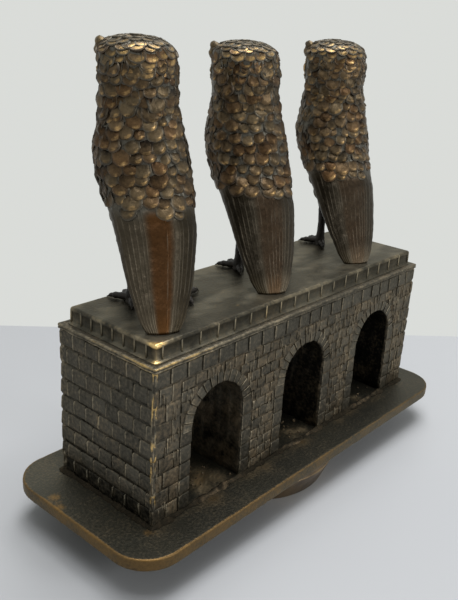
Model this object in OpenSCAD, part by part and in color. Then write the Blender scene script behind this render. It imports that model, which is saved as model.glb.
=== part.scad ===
// Cast bronze figurine: three owls perched on a brick arcade, on a plate with a round foot.
// Frame: origin on the table under the middle of the plate, +X along the wall, +Z up, fronts to -Y.

/* [Base plate] */
// Length of the plate along the wall
plate_l = 141.2; // [132:0.1:170]
// Depth of the plate, front to back
plate_w = 55; // [52:0.1:80]
// Radius of the plate's corners
plate_r = 10.6; // [4:0.1:20]
// Thickness of the plate
plate_t = 3.5; // [3.2:0.1:6]

/* [Round foot] */
// Diameter of the turned foot, against the plate
foot_d = 52; // [46:0.5:54]
// Diameter of the turned foot on the table
foot_base_d = 47; // [36:0.5:50]
// Room for a spanner round the bolt head in the foot
spanner_room = 2.2; // [1.5:0.1:6]
// Thickness of the foot's web, against the plate
foot_web = 4.2; // [2:0.1:6]
// Room under the bolt head, above the table
foot_relief = 0.4; // [0.2:0.1:3]
// Depth of the turned groove round the foot
foot_groove = 0.9; // [0.3:0.1:2]
// Height of the turned groove round the foot
foot_groove_h = 1.2; // [0.6:0.1:2]
// Height of the collar between the groove and the plate
foot_collar_h = 1.8; // [0.8:0.1:3]

/* [Foot bolt] */
// Diameter of the bolt that holds the foot to the plate
bolt_d = 8; // [5:0.5:10]
// Width across the flats of the bolt head
bolt_flats = 13; // [11:0.5:17]
// Height of the bolt head
bolt_head_h = 4; // [3:0.1:6]
// Length of thread in the plate
bolt_grip = 2.6; // [2:0.1:2.8]
// Diameter of the foot washer
foot_washer_d = 17; // [14:0.5:22]
// Thickness of the foot washer
foot_washer_t = 1.2; // [0.8:0.1:2]

/* [Arcade wall] */
// Length of the wall
wall_l = 120; // [116:0.5:128]
// Depth of the wall, front to back
wall_w = 35.7; // [32:0.1:44]
// Height of the wall above the plate, ledge included
wall_h = 43.4; // [40:0.1:60]
// How far the wall's middle lies from the plate's middle, along the plate
wall_along = -1.4; // [-3:0.1:3]
// How far the wall's middle lies from the plate's middle, towards the back
wall_behind = -0.9; // [-2:0.1:2]
// Height of the ledge course round the top of the wall
ledge_h = 1.4; // [1:0.1:3]
// Overhang of the ledge course
ledge_out = 0.4; // [0.2:0.1:1.5]
// Distance between the middles of two arches
arch_pitch = 37.2; // [34:0.1:38.5]
// Clear width of an arch
arch_w = 19.2; // [12:0.1:21]
// Height of the springing of the arches above the plate
arch_spring = 22.3; // [12:0.1:24]
// Width of the braze fillet along the foot of the wall
fillet_w = 1.6; // [0.6:0.1:3]
// Height of the braze fillet along the foot of the wall
fillet_h = 0.9; // [0.4:0.1:2]

/* [Tie bolts] */
// Diameter of the bolts that tie the plate, the wall and the deck together
tie_d = 4; // [3:0.1:5]
// Diameter of their countersunk heads
tie_head_d = 7.4; // [6:0.1:9]
// Height of their countersunk heads
tie_head_h = 2.2; // [1.5:0.1:3]
// Length of thread in the deck
tie_grip = 3; // [2:0.1:4]
// Distance of the tie bolts from the wall's middle plane
tie_y = 8; // [6:0.1:10]

/* [Deck] */
// Step back of the deck from the faces of the wall
deck_inset = 1.9; // [0.5:0.1:3]
// Height of the deck
deck_h = 4.6; // [4.2:0.1:8]

/* [Owls] */
// Distance between two owls along the wall
owl_pitch = 41.8; // [40:0.1:43]
// Place of the perch across the deck, towards the front
perch_y = -6.6; // [-8:0.1:-4]
// Turn of each owl away from the front
owl_turn = 30; // [0:1:35]
// Height of an owl above the deck
owl_h = 65.4; // [60:0.1:80]
// Width of the body at its widest
body_w = 24.2; // [21:0.1:27]
// Depth of the body at its deepest
body_d = 20.6; // [18:0.1:24]
// Width of the head
head_w = 19.2; // [16:0.1:22]
// Depth of the head
head_d = 18.2; // [15:0.1:21]
// Width of the tail at its tip
tail_w = 9.8; // [6:0.1:12]
// Thickness of the tail at its tip
tail_t = 3.2; // [2:0.1:5]
// How far the tip of the tail trails behind the perch
tail_back = 20.6; // [16:0.1:22]
// How far the body leans out ahead of the perch
body_ahead = 5.4; // [3:0.1:7]
// Sideways sway from the tail to the head
owl_sway = 2.4; // [0:0.1:3]
// How far the left owl's body stands aside of its perch
left_aside = -0.4; // [-1:0.1:1]
// How far the centre owl's body stands aside of its perch
centre_aside = 0.2; // [-1:0.1:1]
// How far the right owl's body stands aside of its perch
right_aside = -0.1; // [-1:0.1:1]
// How far the centre owl's crown leans aside
centre_lean = 1.2; // [0:0.1:2]
// How much lower the centre owl is than the others
centre_drop = 0.8; // [0:0.1:2]
// Step from the folded wings in to the breast
wing_t = 0.8; // [0.2:0.1:1.5]
// Turn of the face on the body
face_turn = 28; // [-20:1:35]
// Diameter of a facial disc
disc_d = 7.8; // [6:0.1:9]
// Diameter of an eye
eye_d = 3.2; // [2:0.1:4.5]
// Length of the beak
beak_l = 4.2; // [2.5:0.1:6]
// Length of a brow tuft
tuft_l = 2.6; // [2:0.1:4]

/* [Legs] */
// Distance between the two legs of an owl
leg_spread = 13.7; // [11:0.1:15]
// Sideways place of the middle of the stance
stance_side = -4.1; // [-4.2:0.1:0]
// Diameter of a leg
leg_d = 3.4; // [2.8:0.1:4]
// Height of a leg, from the sole to the thigh
leg_h = 14; // [12:0.1:15]
// Diameter of a thigh where it meets the leg
thigh_d = 4.4; // [4:0.1:6]
// Length of a toe from the middle of the leg
toe_l = 7.6; // [5:0.1:8]
// Diameter of a toe at its root
toe_d = 2.2; // [1.6:0.1:2.8]
// Diameter of the tenon in the thigh
tenon_d = 2; // [1.4:0.1:2.4]
// Length of the tenon in the thigh
tenon_l = 5; // [3:0.1:7]
// Diameter of the stud under the sole
stud_d = 2.4; // [1.8:0.1:3]
// Width across the flats of the stud nuts
nut_flats = 4.6; // [4.2:0.1:6]
// Height of the stud nuts
nut_h = 2; // [1.4:0.1:3]
// Diameter of the stud washers
washer_d = 5.6; // [4.8:0.1:7]
// Thickness of the stud washers
washer_t = 0.5; // [0.3:0.1:1]
// Length of stud that stands past its nut
stud_past = 0.6; // [0.2:0.1:1.5]

/* [Clearances] */
// Gap round pins, studs and bolts in their holes
pin_gap = 0.1; // [0.05:0.01:0.2]
// Depth that the tie bolt heads lie below the plate's underside
head_sink = 0.2; // [0.1:0.05:0.4]
// Room round the nuts in the top of the wall
nut_room = 1.2; // [0.6:0.1:2]

/* [Hidden] */
$fn = 48;
eps = 0.02;
left = 1;
right = -1;

// Heights of the seats, from the table up
foot_h = foot_relief + bolt_head_h + foot_washer_t + foot_web;
plate_z = foot_h;
wall_z = plate_z + plate_t;
deck_z = wall_z + wall_h;
perch_z = deck_z + deck_h;

// Places of the owls along the wall, right to left as seen from the back
owl_x = [owl_pitch, 0, -owl_pitch];
arch_x = [-arch_pitch, 0, arch_pitch];

// Tie bolts stand in the four piers, outer ones to the back and inner ones to the front
pier_x = (arch_pitch + arch_w / 2 + wall_l / 2) / 2;
tie_xy = [for (p = [[-pier_x, tie_y], [-arch_pitch / 2, -tie_y], [arch_pitch / 2, -tie_y], [pier_x, tie_y]])
  p + [wall_along, wall_behind]];

// Lengths under the deck
stud_l = deck_h + washer_t + nut_h + stud_past;
pocket_depth = washer_t + nut_h + stud_past + nut_room;
pocket_d = max(washer_d, nut_flats / cos(30)) + 2 * nut_room;

// Colours
bronze = [0.30, 0.23, 0.14];
dark_bronze = [0.17, 0.15, 0.12];
olive_bronze = [0.36, 0.29, 0.18];
brass = [0.62, 0.47, 0.24];
steel = [0.60, 0.60, 0.58];

// Stations of an owl from the tail tip up. The columns are the height as a share of the owl's height,
// the way from the tail to the body (0 to 1), the sway as a share of owl_sway,
// half the width and half the depth
owl_stations = [
  [0.00, 0.00, -0.02, tail_w / 2, tail_t / 2],
  [0.08, 0.15, -0.25, mix(tail_w, body_w, 0.26) / 2, mix(tail_t, body_d, 0.10) / 2],
  [0.15, 0.32, -0.50, mix(tail_w, body_w, 0.48) / 2, mix(tail_t, body_d, 0.23) / 2],
  [0.30, 0.67, -0.87, mix(tail_w, body_w, 0.77) / 2, mix(tail_t, body_d, 0.58) / 2],
  [0.45, 0.94, -0.48, mix(tail_w, body_w, 0.96) / 2, mix(tail_t, body_d, 0.93) / 2],
  [0.58, 1.00, 0.00, body_w / 2, body_d / 2],
  [0.69, 1.00, 0.22, mix(body_w, head_w, 0.60) / 2, mix(body_d, head_d, 0.60) / 2],
  [0.77, 0.99, 0.42, head_w / 2, head_d / 2],
  [0.88, 0.98, 0.55, head_w / 2, head_d / 2],
  [0.95, 0.98, 0.67, head_w * 0.49, head_d * 0.485],
  [0.983, 0.98, 0.72, head_w * 0.44, head_d * 0.435],
  [1.00, 0.98, 0.72, head_w * 0.27, head_d * 0.26]
];
ring_sides = 32;
rings_per_span = 3;

// How the three castings differ, left to right
owl_aside = [left_aside, centre_aside, right_aside];
owl_lean = [0, centre_lean, 0];
owl_top = [owl_h, owl_h - centre_drop, owl_h];

// Band of heights that the folded wings cover, how far it fades at its ends,
// and where the breast begins round the body
wing_low = 0.13;
wing_high = 0.72;
wing_fade = 0.1;
breast_edge = -0.25;
breast_flat = -0.60;

// Place of the face on the head: heights as shares of owl_h, places as shares of the head's size
face_high = 0.86;
face_sway = 0.55;
disc_tilt = 27;
disc_sink = 0.04;
disc_bevel = 0.04;
disc_deep = 0.2;
eye_sunk = 0.36;
tuft_high = 0.925;
tuft_side = 0.30;
tuft_ahead = 0.28;
tuft_pitch = 25;
tuft_splay = 38;
tuft_taper = 0.25;
beak_pitch = 142;
beak_wide = 0.75;
beak_taper = 0.16;
beak_sunk = 0.2;

// Top of the thighs inside the body, as a share of owl_h, and their lean to its middle, as a share of thigh_d
thigh_high = 0.34;
thigh_lean = 0.3;

// Directions of the three front toes away from the other leg, the turn of the hind toe and its share of toe_l,
// and the shape of a toe from its root to its claw, as shares of its length and of its root
toe_spread = [-30, 8, 48];
hind_turn = 12;
hind_short = 0.75;
toe_rows = [[0, 1], [0.3, 0.85], [0.6, 0.8], [0.82, 0.5], [1, 0.15]];
toe_sides = 12;

function mix(a, b, t) = a + (b - a) * t;

function step_between(a, b, t) =
  let (s = min(1, max(0, (t - a) / (b - a)))) s * s * (3 - 2 * s);

// Smooth curve through four rows of numbers, from b to c
function through(a, b, c, d, t) =
  (2 * b + (c - a) * t + (2 * a - 5 * b + 4 * c - d) * t * t + (3 * b - a - 3 * c + d) * t * t * t) / 2;

function smooth_rows(rows, steps) = let (last = len(rows) - 1) concat(
  [for (i = [0:last - 1], k = [0:steps - 1])
    through(rows[max(0, i - 1)], rows[i], rows[i + 1], rows[min(last, i + 2)], k / steps)],
  [rows[last]]);

// Step in from the wings to the breast at one height and one direction round the body
function breast_step(high, across) =
  wing_t * step_between(breast_edge, breast_flat, across)
  * step_between(wing_low, wing_low + wing_fade, high)
  * (1 - step_between(wing_high - wing_fade, wing_high, high));

// Sideways place of one owl's middle at one height and sway
function owl_side(i, high, sway) = sway * owl_sway + owl_aside[i] + owl_lean[i] * high;

function owl_ring(i, row) = [
  for (k = [0:ring_sides - 1])
    let (a = 360 * k / ring_sides, inset = breast_step(row[0], sin(a)))
      [owl_side(i, row[0], row[2]) + (row[3] - inset) * cos(a),
       mix(tail_back, -body_ahead, row[1]) + (row[4] - inset) * sin(a),
       row[0] * owl_top[i]]
];

function flat(lists) = [for (l = lists) each l];

// Closed skin through rings of equal size, with flat ends
module skin(rings) {
  n = len(rings[0]);
  last = len(rings) - 1;
  sides = [for (r = [0:last - 1], k = [0:n - 1]) let (m = (k + 1) % n) each [
    [r * n + k, (r + 1) * n + k, (r + 1) * n + m],
    [r * n + k, (r + 1) * n + m, r * n + m]
  ]];
  low_end = [for (k = [0:n - 1]) k];
  high_end = [for (k = [n - 1:-1:0]) last * n + k];
  polyhedron(flat(rings), concat(sides, [low_end, high_end]), convexity = 4);
}

module at_owl(i) {
  translate([wall_along + owl_x[i], wall_behind + perch_y, perch_z])
    rotate(-owl_turn)
      children();
}

module at_leg(side) {
  translate([stance_side + side * leg_spread / 2, 0, 0])
    children();
}

module at_each_stud() {
  for (i = [0:2], side = [left, right])
    at_owl(i)
      at_leg(side)
        translate([0, 0, -deck_h])
          children();
}

module rounded_plan(l, w, r) {
  square([l - 2 * r, w], center = true);
  square([l, w - 2 * r], center = true);
  for (sx = [-1, 1], sy = [-1, 1])
    translate([sx * (l / 2 - r), sy * (w / 2 - r)])
      circle(r);
}

module block(l, w, h) {
  translate([-l / 2, -w / 2, 0])
    cube([l, w, h]);
}

module hexagon(flats, h) {
  cylinder(d = flats / cos(30), h = h, $fn = 6);
}

module ring(outer, inner, h) {
  difference() {
    cylinder(d = outer, h = h);
    translate([0, 0, -eps])
      cylinder(d = inner, h = h + 2 * eps);
  }
}

// Countersunk tie bolt from its head up, widened by gap
module tie_shape(length, gap) {
  cylinder(d1 = tie_head_d + 2 * gap, d2 = tie_d + 2 * gap, h = tie_head_h);
  cylinder(d = tie_d + 2 * gap, h = length);
}

module base_plate() {
  color(dark_bronze) difference() {
    translate([0, 0, plate_z])
      linear_extrude(plate_t)
        rounded_plan(plate_l, plate_w, plate_r);
    translate([0, 0, plate_z - eps])
      cylinder(d = bolt_d + 2 * pin_gap, h = bolt_grip + pin_gap + eps);
    for (p = tie_xy)
      translate([p[0], p[1], plate_z + head_sink]) {
        tie_shape(plate_t, pin_gap);
        translate([0, 0, -head_sink - eps])
          cylinder(d = tie_head_d + 2 * pin_gap, h = head_sink + 2 * eps);
      }
  }
}

// Turned foot with a groove under its collar and a counterbore for the bolt head
module round_foot() {
  r = foot_d / 2;
  bore_r = max(foot_washer_d, bolt_flats / cos(30)) / 2 + spanner_room;
  groove_top = foot_h - foot_collar_h;
  groove_low = groove_top - foot_groove_h;
  color(bronze) rotate_extrude($fn = 96) polygon([
    [bore_r, 0], [foot_base_d / 2, 0], [r, groove_low], [r - foot_groove, groove_low + foot_groove_h / 2],
    [r, groove_top], [r, foot_h], [bolt_d / 2 + pin_gap, foot_h],
    [bolt_d / 2 + pin_gap, foot_h - foot_web], [bore_r, foot_h - foot_web]
  ]);
}

module foot_bolt() {
  color(steel) {
    translate([0, 0, foot_relief])
      hexagon(bolt_flats, bolt_head_h);
    translate([0, 0, foot_relief + bolt_head_h - eps])
      cylinder(d = bolt_d, h = foot_washer_t + foot_web + bolt_grip + eps);
  }
}

module foot_washer() {
  color(steel)
    translate([0, 0, foot_relief + bolt_head_h])
      ring(foot_washer_d, bolt_d + 2 * pin_gap, foot_washer_t);
}

// Clear shape of one arch, right through the wall
module arch_void() {
  long = wall_w + 4 * ledge_out;
  translate([0, long / 2, 0])
    rotate([90, 0, 0])
      linear_extrude(long) {
        translate([-arch_w / 2, -eps])
          square([arch_w, arch_spring + eps]);
        translate([0, arch_spring])
          circle(d = arch_w, $fn = 72);
      }
}

module arcade_wall() {
  color(bronze) difference() {
    translate([wall_along, wall_behind, wall_z]) {
      block(wall_l, wall_w, wall_h);
      translate([0, 0, wall_h - ledge_h])
        block(wall_l + 2 * ledge_out, wall_w + 2 * ledge_out, ledge_h);
    }
    for (x = arch_x)
      translate([wall_along + x, wall_behind, wall_z])
        arch_void();
    for (p = tie_xy)
      translate([p[0], p[1], wall_z - eps])
        cylinder(d = tie_d + 2 * pin_gap, h = wall_h + 2 * eps);
    at_each_stud()
      translate([0, 0, -pocket_depth])
        cylinder(d = pocket_d, h = pocket_depth + eps);
  }
}

// Sloping bead of braze in the corner between the wall and the plate
module wall_fillet() {
  l = wall_l / 2;
  w = wall_w / 2;
  function corners(grow, z) = [
    [l + grow, w + grow, z], [-l - grow, w + grow, z], [-l - grow, -w - grow, z], [l + grow, -w - grow, z]
  ];
  points = concat(corners(0, 0), corners(fillet_w, 0), corners(0, fillet_h));
  faces = [for (k = [0:3]) let (m = (k + 1) % 4) each [
    [k, k + 4, m + 4, m], [k + 4, k + 8, m + 8, m + 4], [k + 8, k, m, m + 8]
  ]];
  color(brass)
    translate([wall_along, wall_behind, wall_z])
      polyhedron(points, faces, convexity = 4);
}

module tie_bolts() {
  color(steel)
    for (p = tie_xy)
      translate([p[0], p[1], plate_z + head_sink])
        tie_shape(plate_t - head_sink + wall_h + tie_grip, 0);
}

module deck() {
  color(olive_bronze) difference() {
    translate([wall_along, wall_behind, deck_z])
      block(wall_l - 2 * deck_inset, wall_w - 2 * deck_inset, deck_h);
    for (p = tie_xy)
      translate([p[0], p[1], deck_z - eps])
        cylinder(d = tie_d + 2 * pin_gap, h = tie_grip + pin_gap + eps);
    at_each_stud()
      translate([0, 0, -eps])
        cylinder(d = stud_d + 2 * pin_gap, h = deck_h + 2 * eps);
  }
}

// Face of an owl: two discs with eyes, a beak and two brow tufts, about the middle of the head
module owl_face() {
  face_y = -head_d / 2;
  for (side = [left, right]) {
    rotate(side * disc_tilt)
      translate([0, face_y, 0]) {
        rotate([-90, 0, 0])
          translate([0, 0, disc_d * disc_sink]) {
            cylinder(d1 = disc_d * (1 - 2 * disc_bevel), d2 = disc_d, h = disc_d * disc_bevel, $fn = 32);
            cylinder(d = disc_d, h = disc_d * disc_deep, $fn = 32);
          }
        translate([0, eye_d * eye_sunk, 0])
          sphere(d = eye_d, $fn = 24);
      }
    translate([side * head_w * tuft_side, -head_d * tuft_ahead, owl_h * (tuft_high - face_high)])
      rotate([tuft_pitch, side * tuft_splay, 0])
        cylinder(d1 = tuft_l, d2 = tuft_l * tuft_taper, h = tuft_l, $fn = 16);
  }
  translate([0, face_y + beak_l * beak_sunk, 0])
    rotate([beak_pitch, 0, 0])
      cylinder(d1 = beak_l * beak_wide, d2 = beak_l * beak_taper, h = beak_l, $fn = 16);
}

module thigh(side) {
  hull() {
    translate([0, 0, leg_h])
      cylinder(d = thigh_d, h = eps);
    translate([-side * thigh_d * thigh_lean, 0, owl_h * thigh_high])
      cylinder(d = thigh_d, h = eps);
  }
}

// One owl casting: body, head, wings and tail, with thighs that take the legs' tenons
module owl(i) {
  color(bronze) at_owl(i) difference() {
    union() {
      skin([for (row = smooth_rows(owl_stations, rings_per_span)) owl_ring(i, row)]);
      for (side = [left, right])
        at_leg(side)
          thigh(side);
      translate([owl_side(i, face_high, face_sway), -body_ahead, owl_top[i] * face_high])
        rotate(face_turn)
          owl_face();
    }
    for (side = [left, right])
      at_leg(side)
        translate([0, 0, leg_h - eps])
          cylinder(d = tenon_d + 2 * pin_gap, h = tenon_l + pin_gap + eps, $fn = 24);
  }
}

module owl_left() { owl(0); }
module owl_centre() { owl(1); }
module owl_right() { owl(2); }

// Toe with its claw, lying on the deck and pointing to -Y
module toe(length) {
  skin([for (row = toe_rows) let (r = row[1] * toe_d / 2) [
    for (k = [0:toe_sides - 1])
      let (a = 360 * k / toe_sides)
        [r * cos(a), -row[0] * length, r + eps + r * sin(a)]
  ]]);
}

// Leg casting: shank, three toes and a hind toe, tenon above and threaded stud below
module leg(i, side) {
  color(dark_bronze) at_owl(i) at_leg(side) {
    cylinder(d = leg_d, h = leg_h, $fn = 32);
    for (a = toe_spread)
      rotate(side * a)
        toe(toe_l);
    rotate(180 - side * hind_turn)
      toe(toe_l * hind_short);
    translate([0, 0, leg_h - eps])
      cylinder(d = tenon_d, h = tenon_l + eps, $fn = 24);
    translate([0, 0, -stud_l])
      cylinder(d = stud_d, h = stud_l + eps, $fn = 24);
  }
}

module owl_left_left_leg() { leg(0, left); }
module owl_left_right_leg() { leg(0, right); }
module owl_centre_left_leg() { leg(1, left); }
module owl_centre_right_leg() { leg(1, right); }
module owl_right_left_leg() { leg(2, left); }
module owl_right_right_leg() { leg(2, right); }

module stud_washers() {
  color(steel)
    at_each_stud()
      translate([0, 0, -washer_t])
        ring(washer_d, stud_d + 2 * pin_gap, washer_t);
}

module stud_nuts() {
  color(brass)
    at_each_stud()
      translate([0, 0, -washer_t - nut_h])
        difference() {
          hexagon(nut_flats, nut_h);
          translate([0, 0, -eps])
            cylinder(d = stud_d + 2 * pin_gap, h = nut_h + 2 * eps, $fn = 24);
        }
}

base_plate();
round_foot();
foot_bolt();
foot_washer();
arcade_wall();
wall_fillet();
tie_bolts();
deck();
owl_left();
owl_centre();
owl_right();
owl_left_left_leg();
owl_left_right_leg();
owl_centre_left_leg();
owl_centre_right_leg();
owl_right_left_leg();
owl_right_right_leg();
stud_washers();
stud_nuts();
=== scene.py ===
import math

import bmesh
import bpy
import numpy as np
from mathutils import Matrix, Vector


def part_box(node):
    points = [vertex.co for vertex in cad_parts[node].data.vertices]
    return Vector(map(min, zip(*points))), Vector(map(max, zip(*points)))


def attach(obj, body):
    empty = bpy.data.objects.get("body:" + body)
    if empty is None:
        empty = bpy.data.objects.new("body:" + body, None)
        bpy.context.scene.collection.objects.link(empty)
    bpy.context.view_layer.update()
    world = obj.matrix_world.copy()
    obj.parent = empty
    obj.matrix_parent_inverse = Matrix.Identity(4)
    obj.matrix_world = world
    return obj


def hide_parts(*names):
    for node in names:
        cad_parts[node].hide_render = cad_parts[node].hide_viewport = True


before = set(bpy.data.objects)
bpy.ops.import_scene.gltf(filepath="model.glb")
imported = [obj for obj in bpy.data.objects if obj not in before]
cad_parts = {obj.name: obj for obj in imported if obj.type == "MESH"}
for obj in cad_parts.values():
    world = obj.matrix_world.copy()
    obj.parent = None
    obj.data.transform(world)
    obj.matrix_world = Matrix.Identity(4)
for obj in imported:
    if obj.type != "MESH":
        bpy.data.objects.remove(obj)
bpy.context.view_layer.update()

mm = 0.001
leftSide, rightSide = 1, -1
bothSides = leftSide, rightSide


# Helpers for shapes, all in mm

def boxOf(node):
    low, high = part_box(node)
    return np.array(low) / mm, np.array(high) / mm


def standing(low, top):                  # from a piece's own middle to its place in the frame
    middle = (low + top) / 2
    return Matrix.Translation(Vector((middle[0], middle[1], low[2])) * mm)


def addObject(name, data):
    made = bpy.data.objects.new(name, data)
    bpy.context.scene.collection.objects.link(made)
    return made


def mix(a, b, t):
    return a + (b - a) * t


def smoothStep(low, high, t):
    s = np.clip((t - low) / (high - low), 0, 1)
    return s * s * (3 - 2 * s)


def unit(vectors):
    return vectors / np.linalg.norm(vectors, axis=-1, keepdims=True)


def turned(points, angle):               # points turned about the Z axis
    c, s = math.cos(angle), math.sin(angle)
    return points @ np.array([[c, s, 0], [-s, c, 0], [0, 0, 1]])


def ripple(points, size, seed):          # smooth random waves from about -1 to 1
    dice = np.random.default_rng(seed)
    ways = unit(dice.normal(size=(9, 3))) * dice.uniform(0.6, 1.5, size=(9, 1))
    turns = dice.uniform(0, 2 * math.pi, 9)
    return np.sin(points @ ways.T * (2 * math.pi / size) + turns).sum(axis=-1) / 4


def throughRows(rows, steps):            # smooth curve through rows of numbers
    rows = np.asarray(rows, float)
    padded = np.vstack([rows[:1], rows, rows[-1:]])
    t = np.arange(steps)[:, None] / steps
    spans = []
    for a, b, c, d in zip(padded, padded[1:], padded[2:], padded[3:]):
        spans.append((2 * b + (c - a) * t + (2 * a - 5 * b + 4 * c - d) * t ** 2
                      + (3 * b - a - 3 * c + d) * t ** 3) / 2)
    return np.vstack(spans + [rows[-1:]])


def tube(stations, steps, sides, flatten=1.0):   # rings round a path of (x, y, z, radius)
    rows = throughRows(stations, steps)
    path, radii = rows[:, :3], rows[:, 3]
    ways = unit(np.gradient(path, axis=0))
    beside = unit(np.cross(ways, [0.31, 0.17, 0.94]))
    above = np.cross(beside, ways)
    angle = np.linspace(0, 2 * math.pi, sides, endpoint=False)[None, :, None]
    ring = np.cos(angle) * beside[:, None] + flatten * np.sin(angle) * above[:, None]
    return path[:, None] + ring * radii[:, None, None]


def lathe(profile, sides):               # rings of points from (radius, height) pairs
    angle = np.linspace(0, 2 * math.pi, sides, endpoint=False)
    radius, high = np.array(profile, float).T
    return np.stack([radius[:, None] * np.cos(angle), radius[:, None] * np.sin(angle),
                     np.repeat(high[:, None], sides, axis=1)], axis=-1)


def boxLoop(long, wide, radius, counts):  # points round a rectangle with rounded corners
    arcPoints, longPoints, widePoints = counts
    points = []
    for quarter, (sx, sy) in enumerate([(1, 1), (-1, 1), (-1, -1), (1, -1)]):
        middle = np.array([sx * (long / 2 - radius), sy * (wide / 2 - radius)])
        for t in np.linspace(quarter, quarter + 1, arcPoints) * math.pi / 2:
            points.append(middle + radius * np.array([math.cos(t), math.sin(t)]))
        span, between = ((long, longPoints), (wide, widePoints))[quarter % 2]
        ahead = (quarter + 2) * math.pi / 2
        way = np.array([math.cos(ahead), math.sin(ahead)]) * (span - 2 * radius)
        points += [points[-1] + way * share for share in np.arange(1, between) / between]
    return np.array(points)


def boxStack(long, wide, radius, counts, profile):   # rings from (inset, height) pairs
    rows = []
    for inset, high in profile:
        loop = boxLoop(long - 2 * inset, wide - 2 * inset, max(radius - inset, 0.05), counts)
        rows.append(np.column_stack([loop, np.full(len(loop), high)]))
    return np.array(rows)


class Casting:                           # points in mm, faces, and marks that the finishes read
    def __init__(self):
        self.points, self.faces, self.marks, self.count = [], [], {}, 0

    def add(self, points, faces, **marks):
        points = np.asarray(points, float).reshape(-1, 3)
        self.faces += [[k + self.count for k in face] for face in faces]
        self.points.append(points)
        for key, value in marks.items():
            spread = np.broadcast_to(np.ravel(value), len(points))
            self.marks.setdefault(key, []).append((self.count, spread))
        self.count += len(points)

    def skin(self, rows, ends="flat", **marks):      # quads between rings of points
        index = np.arange(rows.shape[0] * rows.shape[1]).reshape(rows.shape[:2])
        above = np.roll(index, -1, axis=0)
        beside, across = np.roll(index, -1, axis=1), np.roll(above, -1, axis=1)
        quads = np.stack([index, beside, across, above], axis=-1)
        quads = quads if ends == "joined" else quads[:-1]
        faces = quads.reshape(-1, 4).tolist()
        if ends == "flat":
            faces += [index[0][::-1].tolist(), index[-1].tolist()]
        spread = {key: np.broadcast_to(value, rows.shape[:2]) for key, value in marks.items()}
        self.add(rows, faces, **spread)

    def build(self, name):
        mesh = bpy.data.meshes.new(name)
        mesh.from_pydata((np.concatenate(self.points) * mm).tolist(), [], self.faces)
        for key, parts in self.marks.items():
            values = np.zeros(self.count, np.float32)
            for start, value in parts:
                values[start:start + len(value)] = value
            mesh.attributes.new(key, "FLOAT", "POINT").data.foreach_set("value", values)
        shell = bmesh.new()
        shell.from_mesh(mesh)
        bmesh.ops.recalc_face_normals(shell, faces=shell.faces)
        shell.to_mesh(mesh)
        shell.free()
        mesh.polygons.foreach_set("use_smooth", np.ones(len(mesh.polygons), bool))
        return addObject(name, mesh)


def castOne(name, rows, ends="flat", **marks):   # a casting of one skin
    casting = Casting()
    casting.skin(rows, ends, **marks)
    return casting.build(name)


def stampFrom(name, top, foot, **marks):   # closed unit shape: a grid on top, dropped to its foot
    index = np.arange(top.shape[0] * top.shape[1]).reshape(top.shape[:2])
    quads = np.stack([index[:-1, :-1], index[1:, :-1], index[1:, 1:], index[:-1, 1:]], axis=-1)
    border = np.concatenate([index[0, :-1], index[:-1, -1], index[-1, :0:-1], index[:0:-1, 0]])
    low = index.size + np.arange(len(border))
    skirt = np.stack([border, np.roll(border, -1), np.roll(low, -1), low], axis=-1)
    dropped = top.reshape(-1, 3)[border] * [1, 1, 0] + [0, 0, foot]
    bare = np.zeros(len(border))
    spread = {key: np.concatenate([np.ravel(value), bare]) for key, value in marks.items()}
    stamp = Casting()
    stamp.add(np.vstack([top.reshape(-1, 3), dropped]),
              quads.reshape(-1, 4).tolist() + skirt.tolist() + [low.tolist()], **spread)
    return stamp.build(name)


# Node trees

class Wire:                              # a node's output that sums can be written with
    def __init__(self, owner, socket):
        self.owner, self.socket = owner, socket

    def sum(self, operation, first, second):
        return self.owner.node("ShaderNodeMath", dict(operation=operation), {0: first, 1: second})

    def __add__(self, other):
        return self.sum("ADD", self, other)

    def __sub__(self, other):
        return self.sum("SUBTRACT", self, other)

    def __rsub__(self, other):
        return self.sum("SUBTRACT", other, self)

    def __mul__(self, other):
        return self.sum("MULTIPLY", self, other)

    def __truediv__(self, other):
        return self.sum("DIVIDE", self, other)

    __radd__ = __add__


class Tree:
    def __init__(self, tree):
        self.tree = tree

    def node(self, kind, settings, sockets, out=0):
        made = self.tree.nodes.new(kind)
        for key, value in settings.items():
            setattr(made, key, value)
        for key, value in sockets.items():
            if isinstance(value, Wire):
                self.tree.links.new(value.socket, made.inputs[key])
            else:
                made.inputs[key].default_value = value
        return Wire(self, made.outputs[out]) if made.outputs else made


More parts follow.
